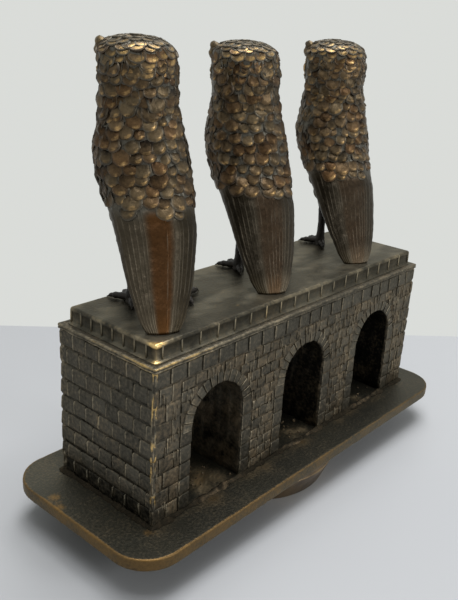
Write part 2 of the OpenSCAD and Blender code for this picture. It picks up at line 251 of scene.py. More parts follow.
class Finish(Tree):                      # a material's nodes
    def __init__(self, name):
        self.material = bpy.data.materials.new(name)
        self.material.use_nodes = True
        super().__init__(self.material.node_tree)
        self.tree.nodes.clear()

    def mark(self, name):
        return self.node("ShaderNodeAttribute", dict(attribute_name=name), {}, "Fac")

    def place(self):
        return self.node("ShaderNodeTexCoord", {}, {}, "Object")

    def along(self, axis):
        return self.node("ShaderNodeSeparateXYZ", {}, {0: self.place()}, axis) / mm

    def noise(self, size, detail=3.0, rough=0.55, stretch=(1, 1, 1)):   # size in mm
        stretched = self.node("ShaderNodeMapping", {}, {"Vector": self.place(), "Scale": stretch})
        return self.node("ShaderNodeTexNoise", {}, {
            "Vector": stretched, "Scale": 1 / (size * mm), "Detail": detail, "Roughness": rough})

    def ease(self, value, low, high):    # 0 below low and 1 above high
        return self.node("ShaderNodeMapRange", dict(interpolation_type="SMOOTHSTEP"), {
            "Value": value, "From Min": low, "From Max": high})

    def blend(self, share, first, second):
        return self.node("ShaderNodeMix", dict(data_type="RGBA"), {0: share, 6: first, 7: second}, 2)

    def shade(self, colour, level):      # a colour made lighter or darker
        grey = self.node("ShaderNodeCombineColor", {}, {0: level, 1: level, 2: level})
        return self.node("ShaderNodeMix", dict(data_type="RGBA", blend_type="MULTIPLY"), {
            0: 1.0, 6: colour, 7: grey}, 2)

    def bump(self, height, deep, strength):   # deep in mm
        return self.node("ShaderNodeBump", {}, {
            "Height": height, "Distance": deep * mm, "Strength": strength})

    def done(self, sockets):
        shader = self.node("ShaderNodeBsdfPrincipled", {}, sockets)
        self.node("ShaderNodeOutputMaterial", {}, {"Surface": shader})
        return self.material


def tint(red, green, blue):
    return red, green, blue, 1.0


# Geometry nodes that plant one stamp on every seat of a casting

def plantingTree():
    group = bpy.data.node_groups.new("planting", "GeometryNodeTree")
    kinds = dict(Casting="Geometry", Seats="Object", Stamp="Object", Turn="Float", Spread="Float",
                 Seed="Int", Finish="Material")
    for name, kind in kinds.items():
        group.interface.new_socket(name=name, in_out="INPUT", socket_type="NodeSocket" + kind)
    group.interface.new_socket(name="Casting", in_out="OUTPUT", socket_type="NodeSocketGeometry")
    tree = Tree(group)
    given = group.nodes.new("NodeGroupInput")
    ask = {name: Wire(tree, given.outputs[name]) for name in kinds}

    def seatMark(name):
        kind = dict(data_type="FLOAT_VECTOR")
        return tree.node("GeometryNodeInputNamedAttribute", kind, {"Name": name})

    def chance(low, high, step):
        return tree.node("FunctionNodeRandomValue", dict(data_type="FLOAT"), {
            2: low, 3: high, "Seed": ask["Seed"] + step}, 1)

    seats = tree.node("GeometryNodeObjectInfo", {}, {"Object": ask["Seats"]}, "Geometry")
    stamp = tree.node("GeometryNodeObjectInfo", {}, {"Object": ask["Stamp"]}, "Geometry")
    facing = tree.node("FunctionNodeAxesToRotation", dict(primary_axis="Z", secondary_axis="Y"), {
        "Primary Axis": seatMark("up"), "Secondary Axis": seatMark("along")})
    tilt = ask["Turn"] * 0.4             # a stamp tips less than it turns
    loose = tree.node("ShaderNodeCombineXYZ", {}, {
        axis: chance(0 - reach, reach, axis) for axis, reach in enumerate((tilt, tilt, ask["Turn"]))})
    rotation = tree.node("FunctionNodeRotateRotation", dict(rotation_space="LOCAL"), {
        "Rotation": facing, "Rotate By": tree.node("FunctionNodeEulerToRotation", {}, {0: loose})})
    size = tree.node("ShaderNodeVectorMath", dict(operation="SCALE"), {
        0: seatMark("size"), "Scale": chance(1 - ask["Spread"], 1 + ask["Spread"], 3)})
    planted = tree.node("GeometryNodeInstanceOnPoints", {}, {
        "Points": seats, "Instance": stamp, "Rotation": rotation, "Scale": size})
    joined = group.nodes.new("GeometryNodeJoinGeometry")
    group.links.new(planted.socket, joined.inputs[0])
    group.links.new(ask["Casting"].socket, joined.inputs[0])
    real = tree.node("GeometryNodeRealizeInstances", {}, {"Geometry": Wire(tree, joined.outputs[0])})
    coated = tree.node("GeometryNodeSetMaterial", {}, {"Geometry": real, "Material": ask["Finish"]})
    tree.node("NodeGroupOutput", {}, {0: coated})
    return group


planting = plantingTree()


def plant(piece, seats, stamp, finish, turn, spread, seed):
    count = len(seats["place"])
    mesh = bpy.data.meshes.new(piece.name + "Seats")
    mesh.from_pydata((np.asarray(seats["place"]) * mm).tolist(), [], [])
    for key in ("up", "along", "size"):
        values = np.broadcast_to(seats[key], (count, 3)).astype(np.float32)
        mesh.attributes.new(key, "FLOAT_VECTOR", "POINT").data.foreach_set("vector", values.ravel())
    for key in ("tone", "warm"):
        values = np.broadcast_to(seats[key], count).astype(np.float32)
        mesh.attributes.new(key, "FLOAT", "POINT").data.foreach_set("value", values)
    holder = addObject(mesh.name, mesh)
    modifier = piece.modifiers.new(mesh.name, "NODES")
    modifier.node_group = planting
    values = dict(Seats=holder, Stamp=stamp, Turn=turn, Spread=spread, Seed=seed, Finish=finish)
    for item in planting.interface.items_tree:
        if item.in_out == "INPUT" and item.name in values:
            modifier[item.identifier] = values[item.name]
    return holder


def roughen(mesh, waves, calm, top):     # bumps along the normals, calmer near both ends
    count = len(mesh.vertices)
    points, normals = np.empty(count * 3, np.float32), np.empty(count * 3, np.float32)
    mesh.vertices.foreach_get("co", points)
    mesh.vertex_normals.foreach_get("vector", normals)
    points = points.reshape(-1, 3) / mm
    push = sum(high * ripple(points, size, seed) for size, high, seed in waves)   # sizes in mm
    rise = smoothStep(*calm[:2], points[:, 2]) * (1 - smoothStep(*calm[2:], points[:, 2]))
    calmShare = 0.3
    push = push * mix(calmShare, 1.0, rise)
    points = points + push[:, None] * normals.reshape(-1, 3)
    points[:, 2] = np.minimum(points[:, 2], top)
    mesh.vertices.foreach_set("co", (points * mm).astype(np.float32).ravel())


def settle(piece, finish, helpers=(), matrix=None, rough=()):   # modifiers become a plain mesh
    depsgraph = bpy.context.evaluated_depsgraph_get()
    mesh = bpy.data.meshes.new_from_object(piece.evaluated_get(depsgraph), depsgraph=depsgraph)
    piece.modifiers.clear()
    piece.data = mesh
    for key in ("up", "along", "size"):
        if key in mesh.attributes:
            mesh.attributes.remove(mesh.attributes[key])
    if rough:
        roughen(mesh, *rough)
    if matrix:
        mesh.transform(matrix)
    mesh.materials.clear()
    mesh.materials.append(finish)
    for helper in helpers:
        bpy.data.objects.remove(helper)


def handOver(piece, node):
    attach(piece, "root")
    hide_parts(node)
    print("made", piece.name, "for", node, "with", len(piece.data.polygons), "faces")


# Finishes

owlCoat = dict(
    dull=tint(0.090, 0.083, 0.067), umber=tint(0.108, 0.079, 0.045), rust=tint(0.094, 0.041, 0.012),
    slate=tint(0.042, 0.032, 0.018), beige=tint(0.130, 0.110, 0.080),
    rubbed=tint(0.405, 0.258, 0.108), gold=tint(0.245, 0.166, 0.068),
    crownFrom=117.0, crownTo=125.5, tailTo=87.0, cloudSize=8.0, grainSize=0.8, grainDeep=0.13)


def owlFinish(coat):
    paint = Finish("owlBronze")
    wear, tone, warm = paint.mark("wear"), paint.mark("tone"), paint.mark("warm")
    cloud, grain = paint.noise(coat["cloudSize"], 4), paint.noise(coat["grainSize"])
    # painted top light: the crown is made lighter and golder with height
    crown = paint.ease(paint.along("Z"), coat["crownFrom"], coat["crownTo"])
    rubbed = paint.ease(wear + crown * 0.30 + (cloud - 0.5) * 0.9 + (grain - 0.5) * 0.6, 0.40, 1.05)
    gritty = paint.ease(paint.along("Z"), coat["tailTo"] - 3, coat["tailTo"]) * 0.8 + 0.3
    ground = paint.blend(paint.mark("boss"), coat["dull"], coat["umber"])
    ground = paint.blend(paint.ease(warm + (cloud - 0.5) * 0.5, 0.0, 1.0), ground, coat["rust"])
    ground = paint.blend(paint.ease(0 - warm, 0.0, 1.0), ground, coat["slate"])
    bright = paint.blend(crown, coat["rubbed"], coat["gold"])
    # the level includes painted shade at the feather roots
    level = tone * 0.35 + (grain - 0.5) * gritty + 1 - paint.mark("under") * 0.6
    metal = paint.shade(paint.blend(rubbed, ground, bright), level)
    return paint.done({
        "Base Color": paint.blend(paint.mark("streak"), metal, coat["beige"]),
        "Metallic": rubbed * 0.2 + 0.75, "Specular IOR Level": 0.2,
        "Roughness": (grain - 0.5) * 0.2 - rubbed * 0.12 + 0.40,
        "Normal": paint.bump(grain, coat["grainDeep"], 0.7)})


wallCoat = dict(
    ground=tint(0.070, 0.064, 0.050), brown=tint(0.121, 0.092, 0.058),
    edge=tint(0.195, 0.168, 0.122), gold=tint(0.520, 0.360, 0.150), sheen=tint(0.94, 0.88, 0.74),
    cloudSize=6.0, grainSize=0.9, grainDeep=0.32, speckle=2.0, rough=0.50, metal=0.65)

deckCoat = dict(
    ground=tint(0.066, 0.061, 0.046), brown=tint(0.094, 0.074, 0.046),
    edge=tint(0.155, 0.130, 0.088), gold=tint(0.560, 0.390, 0.165), sheen=tint(0.96, 0.91, 0.78),
    cloudSize=9.0, grainSize=0.9, grainDeep=0.16, speckle=0.9, rough=0.44, metal=0.7)

plateCoat = dict(
    ground=tint(0.024, 0.023, 0.0175), brown=tint(0.075, 0.058, 0.035),
    edge=tint(0.108, 0.068, 0.029), gold=tint(0.180, 0.100, 0.028), sheen=tint(0.96, 0.93, 0.80),
    cloudSize=9.0, grainSize=0.7, grainDeep=0.22, speckle=1.1, rough=0.48, metal=0.6)

brazeCoat = dict(
    ground=tint(0.018, 0.016, 0.012), brown=tint(0.060, 0.043, 0.026),
    edge=tint(0.130, 0.105, 0.072), gold=tint(0.300, 0.215, 0.110), sheen=tint(0.85, 0.72, 0.50),
    cloudSize=3.0, grainSize=0.7, grainDeep=0.30, speckle=1.6, rough=0.72, metal=0.6)

legCoat = dict(
    ground=tint(0.012, 0.010, 0.008), brown=tint(0.024, 0.017, 0.011),
    edge=tint(0.052, 0.042, 0.030), gold=tint(0.200, 0.140, 0.070), sheen=tint(1.0, 1.0, 1.0),
    cloudSize=3.0, grainSize=0.4, grainDeep=0.16, speckle=0.8, rough=0.55, metal=0.4)


def castFinish(name, coat):              # patina, rubbed light on edges and gold where the mark passes 1; that mark also carries painted highlights at the near corners, which make most of the gold
    paint = Finish(name)
    wear, tone, warm = paint.mark("wear"), paint.mark("tone"), paint.mark("warm")
    cloud, grain = paint.noise(coat["cloudSize"], 5), paint.noise(coat["grainSize"])
    rubbed = paint.ease(wear + (cloud - 0.5) * 0.7 + (grain - 0.5) * 0.6, 0.45, 1.05)
    goldWearAndHighlight = paint.ease(wear + (cloud - 0.5) * 1.6, 1.05, 1.75)
    browned = paint.ease(warm + (cloud - 0.5) * 1.2 + (grain - 0.5) * 2.0, -0.1, 1.3)
    ground = paint.blend(browned, coat["ground"], coat["brown"])
    # the worn colour is real edge wear, and a painted highlight where the mark is raised at the near corners
    worn = paint.blend(goldWearAndHighlight, coat["edge"], coat["gold"])
    level = tone * 0.45 + (cloud - 0.5) * 0.5 + (grain - 0.5) * coat["speckle"] + 1
    return paint.done({
        "Base Color": paint.shade(paint.blend(rubbed, ground, worn), level),
        "Specular Tint": coat["sheen"], "Metallic": rubbed * 0.35 + coat["metal"],
        "Roughness": (grain - 0.5) * 0.25 - goldWearAndHighlight * 0.12 + coat["rough"],
        "Normal": paint.bump(grain + cloud * 0.7, coat["grainDeep"], 0.6)})


turnedCoat = dict(
    dark=tint(0.062, 0.046, 0.030), brown=tint(0.140, 0.098, 0.058), bright=tint(0.300, 0.205, 0.100),
    ringSize=0.5, ringDeep=0.05, cloudSize=7.0)


def turnedFinish(coat):                  # lathe-turned bronze: fine rings round the foot
    paint = Finish("turnedBronze")
    rings = paint.noise(coat["ringSize"], 2, 0.5, stretch=(0.02, 0.02, 1))
    cloud = paint.noise(coat["cloudSize"], 4)
    rubbed = paint.ease(paint.mark("wear") + (cloud - 0.5) * 0.7, 0.4, 1.0)
    ground = paint.blend(paint.ease(cloud, 0.35, 0.65), coat["dark"], coat["brown"])
    return paint.done({
        "Base Color": paint.blend(rubbed, ground, coat["bright"]), "Metallic": rubbed * 0.3 + 0.6,
        "Roughness": (rings - 0.5) * 0.2 + 0.42, "Normal": paint.bump(rings, coat["ringDeep"], 0.4)})


steelCoat = dict(
    dark=tint(0.30, 0.30, 0.29), light=tint(0.50, 0.50, 0.48), streakSize=0.8, streakDeep=0.03, spotSize=2.5)


def steelFinish(coat):                   # bright bolts with fine streaks and a few dull spots
    paint = Finish("boltSteel")
    streak = paint.noise(coat["streakSize"], 2, 0.5, stretch=(1, 1, 0.1))
    spots = paint.ease(paint.noise(coat["spotSize"], 4), 0.55, 0.72)
    return paint.done({
        "Base Color": paint.blend(streak, coat["dark"], coat["light"]), "Metallic": 1.0,
        "Roughness": streak * 0.15 + spots * 0.2 + 0.25,
        "Normal": paint.bump(streak, coat["streakDeep"], 0.3)})


finishes = dict(
    owl=owlFinish(owlCoat), wall=castFinish("wallBronze", wallCoat),
    deck=castFinish("deckBronze", deckCoat), plate=castFinish("plateBronze", plateCoat),
    braze=castFinish("brazeBrass", brazeCoat), leg=castFinish("legBronze", legCoat),
    foot=turnedFinish(turnedCoat), steel=steelFinish(steelCoat))
print("finishes made:", ", ".join(finishes))


# Owls: one loft from the tail to the crown, with feathers planted on it

owlForm = dict(
    pitch=41.8, perchBack=-6.6, turn=30.0, height=65.4, sway=2.4,
    bodyWidth=24.2, bodyDepth=20.6, headWidth=19.2, headDepth=18.2, tailWidth=9.8, tailThick=3.2,
    tailBack=20.6, bodyAhead=5.4, tipHigh=0.05, tipRound=0.16,
    wingThick=0.8, wingEdge=(-0.25, -0.60), wingStart=(0.13, 0.23), wingStop=(0.62, 0.72),
    backEdge=(0.30, 0.60),
    sinkHigh=(0.325, 0.355, 0.74, 0.80, 0.93, 1.0), sinkDeep=(0.15, 0.50, 0.50, 0.42, 0.36, 0.42),
    sideSink=0.30, scaleLow=0.370, wingFrom=0.50, wingWave=0.08, wingTo=-0.30, breastFrom=-0.42,
    calm=(24.0, 28.0, 58.0, 61.0), waves=((2.6, 0.17, 71), (1.3, 0.09, 72)))

owlShapes = dict(                        # the three castings differ a little
    owl_left=dict(step=1, aside=-0.4, lean=0.0, drop=0.0, warm=(-0.26, 0.32), rust=1.0,
                  slate=(-0.95, -0.45), dark=0.0, lines=(-0.12,)),
    owl_centre=dict(step=0, aside=0.2, lean=1.2, drop=0.8, warm=(-0.50, 0.32), rust=0.45,
                    slate=(0.45, 0.95), dark=0.45, lines=(-0.20, -0.09, 0.06, 0.22)),
    owl_right=dict(step=-1, aside=-0.1, lean=0.0, drop=0.0, warm=(-0.52, 0.40), rust=0.4,
                   slate=(0.55, 0.95), dark=0.45, lines=(-0.22, -0.06, 0.10, 0.25)))

tailForm = dict(
    ridges=(-0.93, -0.82, -0.68, -0.54, -0.45, -0.33, 0.38, 0.46, 0.58, 0.70, 0.82, 0.92),
    ridgeHigh=0.08, ridgeWide=0.12, ridgeFade=(0.40, 0.43), stripFade=(0.36, 0.42), stripSoft=(0.16, 0.14),
    smoothFade=(0.34, 0.40), streak=0.40, tone=-1.5, columns=110, tailRows=52, bodyRows=66, rowsMeet=0.42)

faceForm = dict(
    high=0.86, swayShare=0.55, turn=28.0, discTilt=27.0, discWide=7.8, discProud=0.45, discSunk=0.65,
    discDeep=1.4, eyeWide=3.2, barbs=26, barbDeep=0.08, bareHalf=1.15, bareTop=0.955)


def owlTable(form):
    tailW, bodyW, headW = form["tailWidth"], form["bodyWidth"], form["headWidth"]
    tailT, bodyT, headT = form["tailThick"], form["bodyDepth"], form["headDepth"]
    stations = [                         # height, way to the body, sway, width, depth
        (0.00, 0.00, -0.02, tailW, tailT),
        (0.08, 0.15, -0.25, mix(tailW, bodyW, 0.26), mix(tailT, bodyT, 0.10)),
        (0.15, 0.32, -0.50, mix(tailW, bodyW, 0.48), mix(tailT, bodyT, 0.23)),
        (0.30, 0.67, -0.87, mix(tailW, bodyW, 0.77), mix(tailT, bodyT, 0.58)),
        (0.45, 0.94, -0.48, mix(tailW, bodyW, 0.96), mix(tailT, bodyT, 0.93)),
        (0.58, 1.00, 0.00, bodyW, bodyT),
        (0.69, 1.00, 0.22, mix(bodyW, headW, 0.60), mix(bodyT, headT, 0.60)),
        (0.77, 0.99, 0.42, headW, headT),
        (0.88, 0.98, 0.55, headW, headT),
        (0.94, 0.98, 0.66, headW * 0.985, headT * 0.98),
        (0.965, 0.98, 0.70, headW * 0.90, headT * 0.90),
        (0.985, 0.98, 0.72, headW * 0.70, headT * 0.70),
        (0.996, 0.98, 0.72, headW * 0.42, headT * 0.42),
        (1.00, 0.98, 0.72, headW * 0.05, headT * 0.05)]
    return throughRows(np.array(stations) * [1, 1, form["sway"], 0.5, 0.5], steps=24)


owlRows = owlTable(owlForm)


def halfWidthAt(high):
    return np.interp(high, owlRows[:, 0], owlRows[:, 3])


def bodyAt(form, shape, angle, high):    # a point of the core, under the feathers
    way, sway, wide, deep = (np.interp(high, owlRows[:, 0], owlRows[:, k]) for k in (1, 2, 3, 4))
    across = np.sin(angle)
    sink = np.interp(high, form["sinkHigh"], form["sinkDeep"])
    sink = mix(np.minimum(sink, form["sideSink"]), sink, smoothStep(*form["backEdge"], across))
    inset = sink + (form["wingThick"] * smoothStep(*form["wingEdge"], across)
                    * smoothStep(*form["wingStart"], high) * (1 - smoothStep(*form["wingStop"], high)))
    wide = wide * (1 - form["tipRound"] * (1 - np.clip(high / form["tipHigh"], 0, 1)) ** 2)
    x = sway + shape["aside"] + shape["lean"] * high + (wide - inset) * np.cos(angle)
    y = mix(form["tailBack"], -form["bodyAhead"], way) + (deep - inset) * across
    z = high * (form["height"] - shape["drop"] - sink)
    return np.stack([x, y, z], axis=-1)


def bodyFrame(form, shape, angle, high):   # place, outward way and downward way on the core
    nudge = 0.004
    around = bodyAt(form, shape, angle + nudge, high) - bodyAt(form, shape, angle - nudge, high)
    upward = bodyAt(form, shape, angle, high + nudge) - bodyAt(form, shape, angle, high - nudge)
    return bodyAt(form, shape, angle, high), unit(np.cross(around, upward)), -unit(upward)


def owlBody(casting, form, shape, tail):
    ridges = tail["ridges"] + shape["lines"]
    offsets = np.array([-0.42, -0.28, -0.18, -0.09, 0.0, 0.09, 0.18, 0.28, 0.42]) / 9.0
    shares = np.clip(np.array(ridges)[:, None] + offsets, -0.995, 0.995)   # columns close to each ridge
    evenly = np.linspace(0, 2 * math.pi, tail["columns"], endpoint=False)
    angle = np.unique(np.concatenate([np.arccos(shares).ravel(), evenly]).round(3))
    meet = tail["rowsMeet"]
    lower, upper = np.linspace(0, meet, tail["tailRows"]), np.linspace(meet + 0.01, 1.0, tail["bodyRows"])
    high = np.concatenate([lower, upper])
    a, h = np.meshgrid(angle, high)
    place, up, _ = bodyFrame(form, shape, a, h)
    ridge = np.zeros_like(a)
    for share in ridges:
        off = (np.cos(a) - share) * halfWidthAt(h)
        ridge = np.maximum(ridge, np.exp(-(off / tail["ridgeWide"]) ** 2))
    ridge *= smoothStep(0.0, 0.2, np.sin(a)) * (1 - smoothStep(*tail["ridgeFade"], h))
    broken = smoothStep(-0.6, 0.8, ripple(place * [1, 1, 0.35], 5, 73))
    smooth = 1 - smoothStep(*tail["smoothFade"], h)
    place = place + up * (tail["ridgeHigh"] * ridge)[..., None]

    def strip(low, top):                 # a patch down the tail between two shares of its width
        share = np.cos(a)
        outer, inner = tail["stripSoft"]
        rise = smoothStep(low - outer, low + inner, share)
        fall = 1 - smoothStep(top - inner, top + outer, share)
        return rise * fall * smoothStep(0.0, 0.3, np.sin(a)) * (1 - smoothStep(*tail["stripFade"], h))

    crown = [mix(place[-1], place[-1].mean(axis=0), share) for share in (0.3, 0.6, 0.85, 0.98)]

    def capped(marks):                   # the rings that close the crown carry no marks
        return np.vstack([marks, np.zeros((len(crown), len(angle)))])

    warm = shape["rust"] * strip(*shape["warm"]) - strip(*shape["slate"])
    wear = 0.15 * ridge + 0.3 * (1 - smoothStep(0.0, 0.03, h))
    tone = (tail["tone"] - shape["dark"]) * (smooth * smoothStep(-0.02, 0.10, h))
    casting.skin(np.concatenate([place, np.array(crown)]), wear=capped(wear), warm=capped(warm),
                 streak=capped(tail["streak"] * ridge * broken), boss=capped(0.6 * smooth), tone=capped(tone))


def owlFace(casting, form, shape, face):
    reach = form["headDepth"] / 2 - face["discSunk"]
    turn = math.radians(face["turn"])
    middle = np.array([form["sway"] * face["swayShare"] + shape["aside"] + shape["lean"] * face["high"],
                       -form["bodyAhead"], (form["height"] - shape["drop"]) * face["high"]])

    def onHead(points):
        return turned(points, turn) + middle

    angle = np.linspace(0, 2 * math.pi, 78, endpoint=False)
    proud = face["discProud"]
    profile = [(0.10, -0.25), (0.30, -0.20), (0.45, -0.15), (0.60, 0.0), (0.75, 0.2), (0.86, proud * 0.9),
               (0.93, proud), (0.98, 0.3), (1.0, -0.1), (1.0, -face["discDeep"])]
    for side in bothSides:
        rows = []
        for share, deep in profile:
            barb = face["barbDeep"] * np.sin(face["barbs"] * angle) * smoothStep(0.35, 0.7, share)
            radius = share * face["discWide"] / 2
            ring = radius * np.cos(angle), -(reach + deep + barb), radius * np.sin(angle)
            rows.append(np.column_stack(ring))
        rim = np.array([[0.3, 0.3, 0.35, 0.4, 0.5, 0.8, 0.9, 0.6, 0.2, 0.0]]).T
        tilt = side * math.radians(face["discTilt"])
        casting.skin(onHead(turned(np.array(rows), tilt)), wear=rim, tone=-0.2, warm=0.1)
        ball = lathe([(face["eyeWide"] / 2 * math.sin(t), -face["eyeWide"] / 2 * math.cos(t))
                      for t in np.linspace(0.02, math.pi - 0.02, 14)], 26)
        eye = turned(ball[..., [0, 2, 1]] * [1, -1, 1] - [0, reach - 0.1, 0], tilt)
        casting.skin(onHead(eye), wear=0.85, tone=-0.1, warm=0.0)
        brow = [(0.7 * side, -reach - 0.4, 1.2, 0.55), (2.9 * side, -reach + 0.1, 3.9, 0.9),
                (5.3 * side, -6.5, 4.4, 1.5), (6.1 * side, -5.8, 5.4, 1.9), (6.3 * side, -5.4, 6.4, 1.9),
                (6.4 * side, -5.2, 7.2, 1.9), (6.2 * side, -5.0, 7.9, 1.1)]
        casting.skin(onHead(tube(brow, 6, 16, 0.8)), wear=0.3, boss=0.6, tone=-0.6, warm=0.0)
    beak = [(0, -reach + 0.3, 1.7, 1.0), (0, -reach - 0.8, 0.8, 1.25), (0, -reach - 1.5, -0.9, 1.0),
            (0, -reach - 1.8, -2.3, 0.55), (0, -reach - 1.5, -3.2, 0.12)]
    casting.skin(onHead(tube(beak, 5, 16, 0.8)), wear=0.8, tone=-0.1, warm=0.0)


legForm = dict(
    spread=13.7, middle=-4.1, thick=3.4, high=14.0, thighWide=4.4, thighTop=22.2, thighIn=1.3,
    toeLong=7.6, toeThick=2.2, toeTurns=(-30.0, 8.0, 48.0), hindTurn=12.0, hindShort=0.75,
    scuteDeep=0.07, scuteRun=26, tenonWide=2.0, tenonLong=5.0, studWide=2.4, studLong=7.7)


def owlThighs(casting, leg):
    for side in bothSides:
        x = leg["middle"] + side * leg["spread"] / 2
        inner = x - side * leg["thighIn"]
        r = leg["thighWide"] / 2
        path = [(x, 0, leg["high"], r * 0.75), (x, 0, leg["high"] + 0.8, r * 0.95),
                (mix(x, inner, 0.6), 0, mix(leg["high"], leg["thighTop"], 0.6), r),
                (inner, 0, leg["thighTop"], r * 1.05)]
        casting.skin(tube(path, 6, 30), wear=0.15, tone=-0.4, warm=0.1)


def rowHighs(form, shape, low, high, pitch):   # heights of feather rows, evenly spaced down the back
    shares = np.linspace(low, high, 300)
    line = bodyAt(form, shape, np.full(300, math.pi / 2), shares)
    run = np.concatenate([[0], np.cumsum(np.linalg.norm(np.diff(line, axis=0), axis=1))])
    count = max(2, round(run[-1] / pitch) + 1)
    return np.interp(np.linspace(0, run[-1], count), run, shares)


seatSpread = dict(high=0.01, size=(0.8, 1.15), tone=0.9, warm=0.55, topmost=0.99)


def featherSeats(form, shape, zone, keep, dice):
    low, high = zone["ends"]
    seats = dict(angle=[], high=[], grow=[])
    for row, share in enumerate(rowHighs(form, shape, low, high, zone["rowPitch"])):
        larger = 1 + zone["grow"] * (high - share) / (high - low)
        count = round(2 * math.pi * halfWidthAt(share) / (zone["gap"] * larger))
        stray = dice.uniform(-zone["stray"], zone["stray"], count)
        turn = (np.arange(count) + 0.5 * (row % 2) + stray) / count
        seats["angle"].append(turn * 2 * math.pi)
        seats["high"].append(share + dice.uniform(-seatSpread["high"], seatSpread["high"], count))
        seats["grow"].append(larger * dice.uniform(*seatSpread["size"], count))
    angle, share, larger = (np.concatenate(seats[key]) for key in ("angle", "high", "grow"))
    kept = keep(angle, share)
    angle, share, larger = angle[kept], np.minimum(share[kept], seatSpread["topmost"]), larger[kept]
    place, up, along = bodyFrame(form, shape, angle, share)
    tone = zone["tone"] + dice.uniform(-seatSpread["tone"], seatSpread["tone"], len(angle))
    warm = dice.uniform(0, seatSpread["warm"], len(angle))
    size = larger[:, None] * np.array(zone["size"])
    return dict(place=place, up=up, along=along, size=size, tone=tone, warm=warm)


def crownSeats(form, shape, zone, dice):   # rows over the dome of the crown, tips to the back
    half = np.array([form["headWidth"], form["headDepth"]]) / 2
    places = []
    for row, y in enumerate(np.arange(-half[1], half[1], zone["rowPitch"])):
        for x in np.arange(-4, 5) * zone["gap"] + 0.5 * zone["gap"] * (row % 2) + dice.uniform(-0.3, 0.3):
            places.append([x / half[0], y / half[1]])
    places = np.array(places)
    share = np.linalg.norm(places, axis=1)
    places, share = places[share < zone["reach"]], share[share < zone["reach"]]
    highs = np.linspace(1.0, 0.94, 60)
    high = np.interp(share, halfWidthAt(highs) / half[0], highs)
    place, up, _ = bodyFrame(form, shape, np.arctan2(places[:, 1], places[:, 0]), high)
    back = np.array([0.0, 1.0, 0.0])
    along = unit(back - up * (up @ back)[:, None])
    return dict(place=place, up=up, along=along, size=zone["size"],
                tone=dice.uniform(-0.6, 0.9, len(places)), warm=0.0)


def feather(name, boss, lift, rim, tip, dip):   # a swelling scale whose free edge is a thin raised line
    columns = [-1, -0.88, -0.66, -0.34, 0, 0.34, 0.66, 0.88, 1]
    u, v = np.meshgrid(columns, [0, 0.24, 0.44, 0.60, 0.74, 0.86, 0.94, 1.0])
    half = 0.5 * (0.72 + 0.28 * np.sin(np.minimum(v / 0.5, 1) * math.pi / 2))
    across = np.clip(1 - np.abs(u / 0.97) ** 2.6, 0, 1)
    swell = across * smoothStep(-0.1, 0.8, v) * (1 - smoothStep(0.84, 0.98, v))
    besideEdge = smoothStep(0.90, 0.99, np.abs(u)) * smoothStep(0.3, 0.6, v)
    edge = np.maximum(smoothStep(0.93, 0.99, v), besideEdge)
    z = boss * swell + lift * v + rim * edge - dip * (1 - v) ** 2 - 0.12
    y = v * (0.58 + 0.42 * np.sqrt(1 - 0.97 * u ** 2)) - 0.5
    # painted highlight: the crescent is brighter on the side of the stamp where the lamps' light falls
    paintedLitSide = 0.4 + 0.6 * smoothStep(0.6, -0.6, u)
    wear = tip * smoothStep(0.50, 0.82, v) * (1 - smoothStep(0.90, 0.97, v)) * across * paintedLitSide
    # under: painted shade at the root, where the row above covers the feather
    return stampFrom(name, np.stack([u * half, y, z], axis=-1), -1.0, wear=wear, streak=0.42 * edge,
                     boss=smoothStep(0.05, 0.4, swell), under=1 - smoothStep(0.25, 0.75, v))


neatSeats, shaggySeats = dict(turn=0.09, spread=0.06), dict(turn=0.34, spread=0.18)
crownStamp = dict(boss=0.25, lift=0.40, rim=0.16, tip=1.0, dip=1.1)
featherForm = dict(                      # rows and sizes in mm, colour, loose seats, the stamp's shape
    back=dict(ends=(0.350, 0.75), rowPitch=2.8, gap=3.65, size=(3.75, 4.1, 1.05), grow=0.14, stray=0.2,
              tone=0.2, loose=shaggySeats,
              stamp=dict(boss=0.85, lift=0.20, rim=0.16, tip=0.95, dip=0.2)),
    wing=dict(ends=(0.41, 0.75), rowPitch=2.6, gap=3.3, size=(3.7, 4.4, 0.34), grow=0.1, stray=0.15,
              tone=-0.5, loose=neatSeats,
              stamp=dict(boss=0.30, lift=0.35, rim=0.20, tip=0.5, dip=0.6)),
    head=dict(ends=(0.745, 0.895), rowPitch=2.2, gap=3.1, size=(3.8, 4.1, 0.90), grow=0.1, stray=0.2,
              tone=-0.3, loose=shaggySeats,
              stamp=dict(boss=0.50, lift=0.35, rim=0.18, tip=0.85, dip=0.5)),
    crown=dict(ends=(0.895, 0.972), rowPitch=2.0, gap=3.2, size=(3.5, 3.5, 0.48), grow=0.15, stray=0.06,
               tone=0.2, loose=neatSeats, stamp=crownStamp),
    top=dict(rowPitch=2.0, gap=3.0, size=(3.3, 3.4, 0.36), reach=0.84, loose=neatSeats,
             stamp=crownStamp),
    breast=dict(ends=(0.24, 0.75), rowPitch=2.3, gap=2.9, size=(2.7, 3.6, 0.55), grow=0.1, stray=0.1,
                tone=0.0, loose=neatSeats,
                stamp=dict(boss=0.4, lift=0.4, rim=0.15, tip=0.6, dip=0.2)))


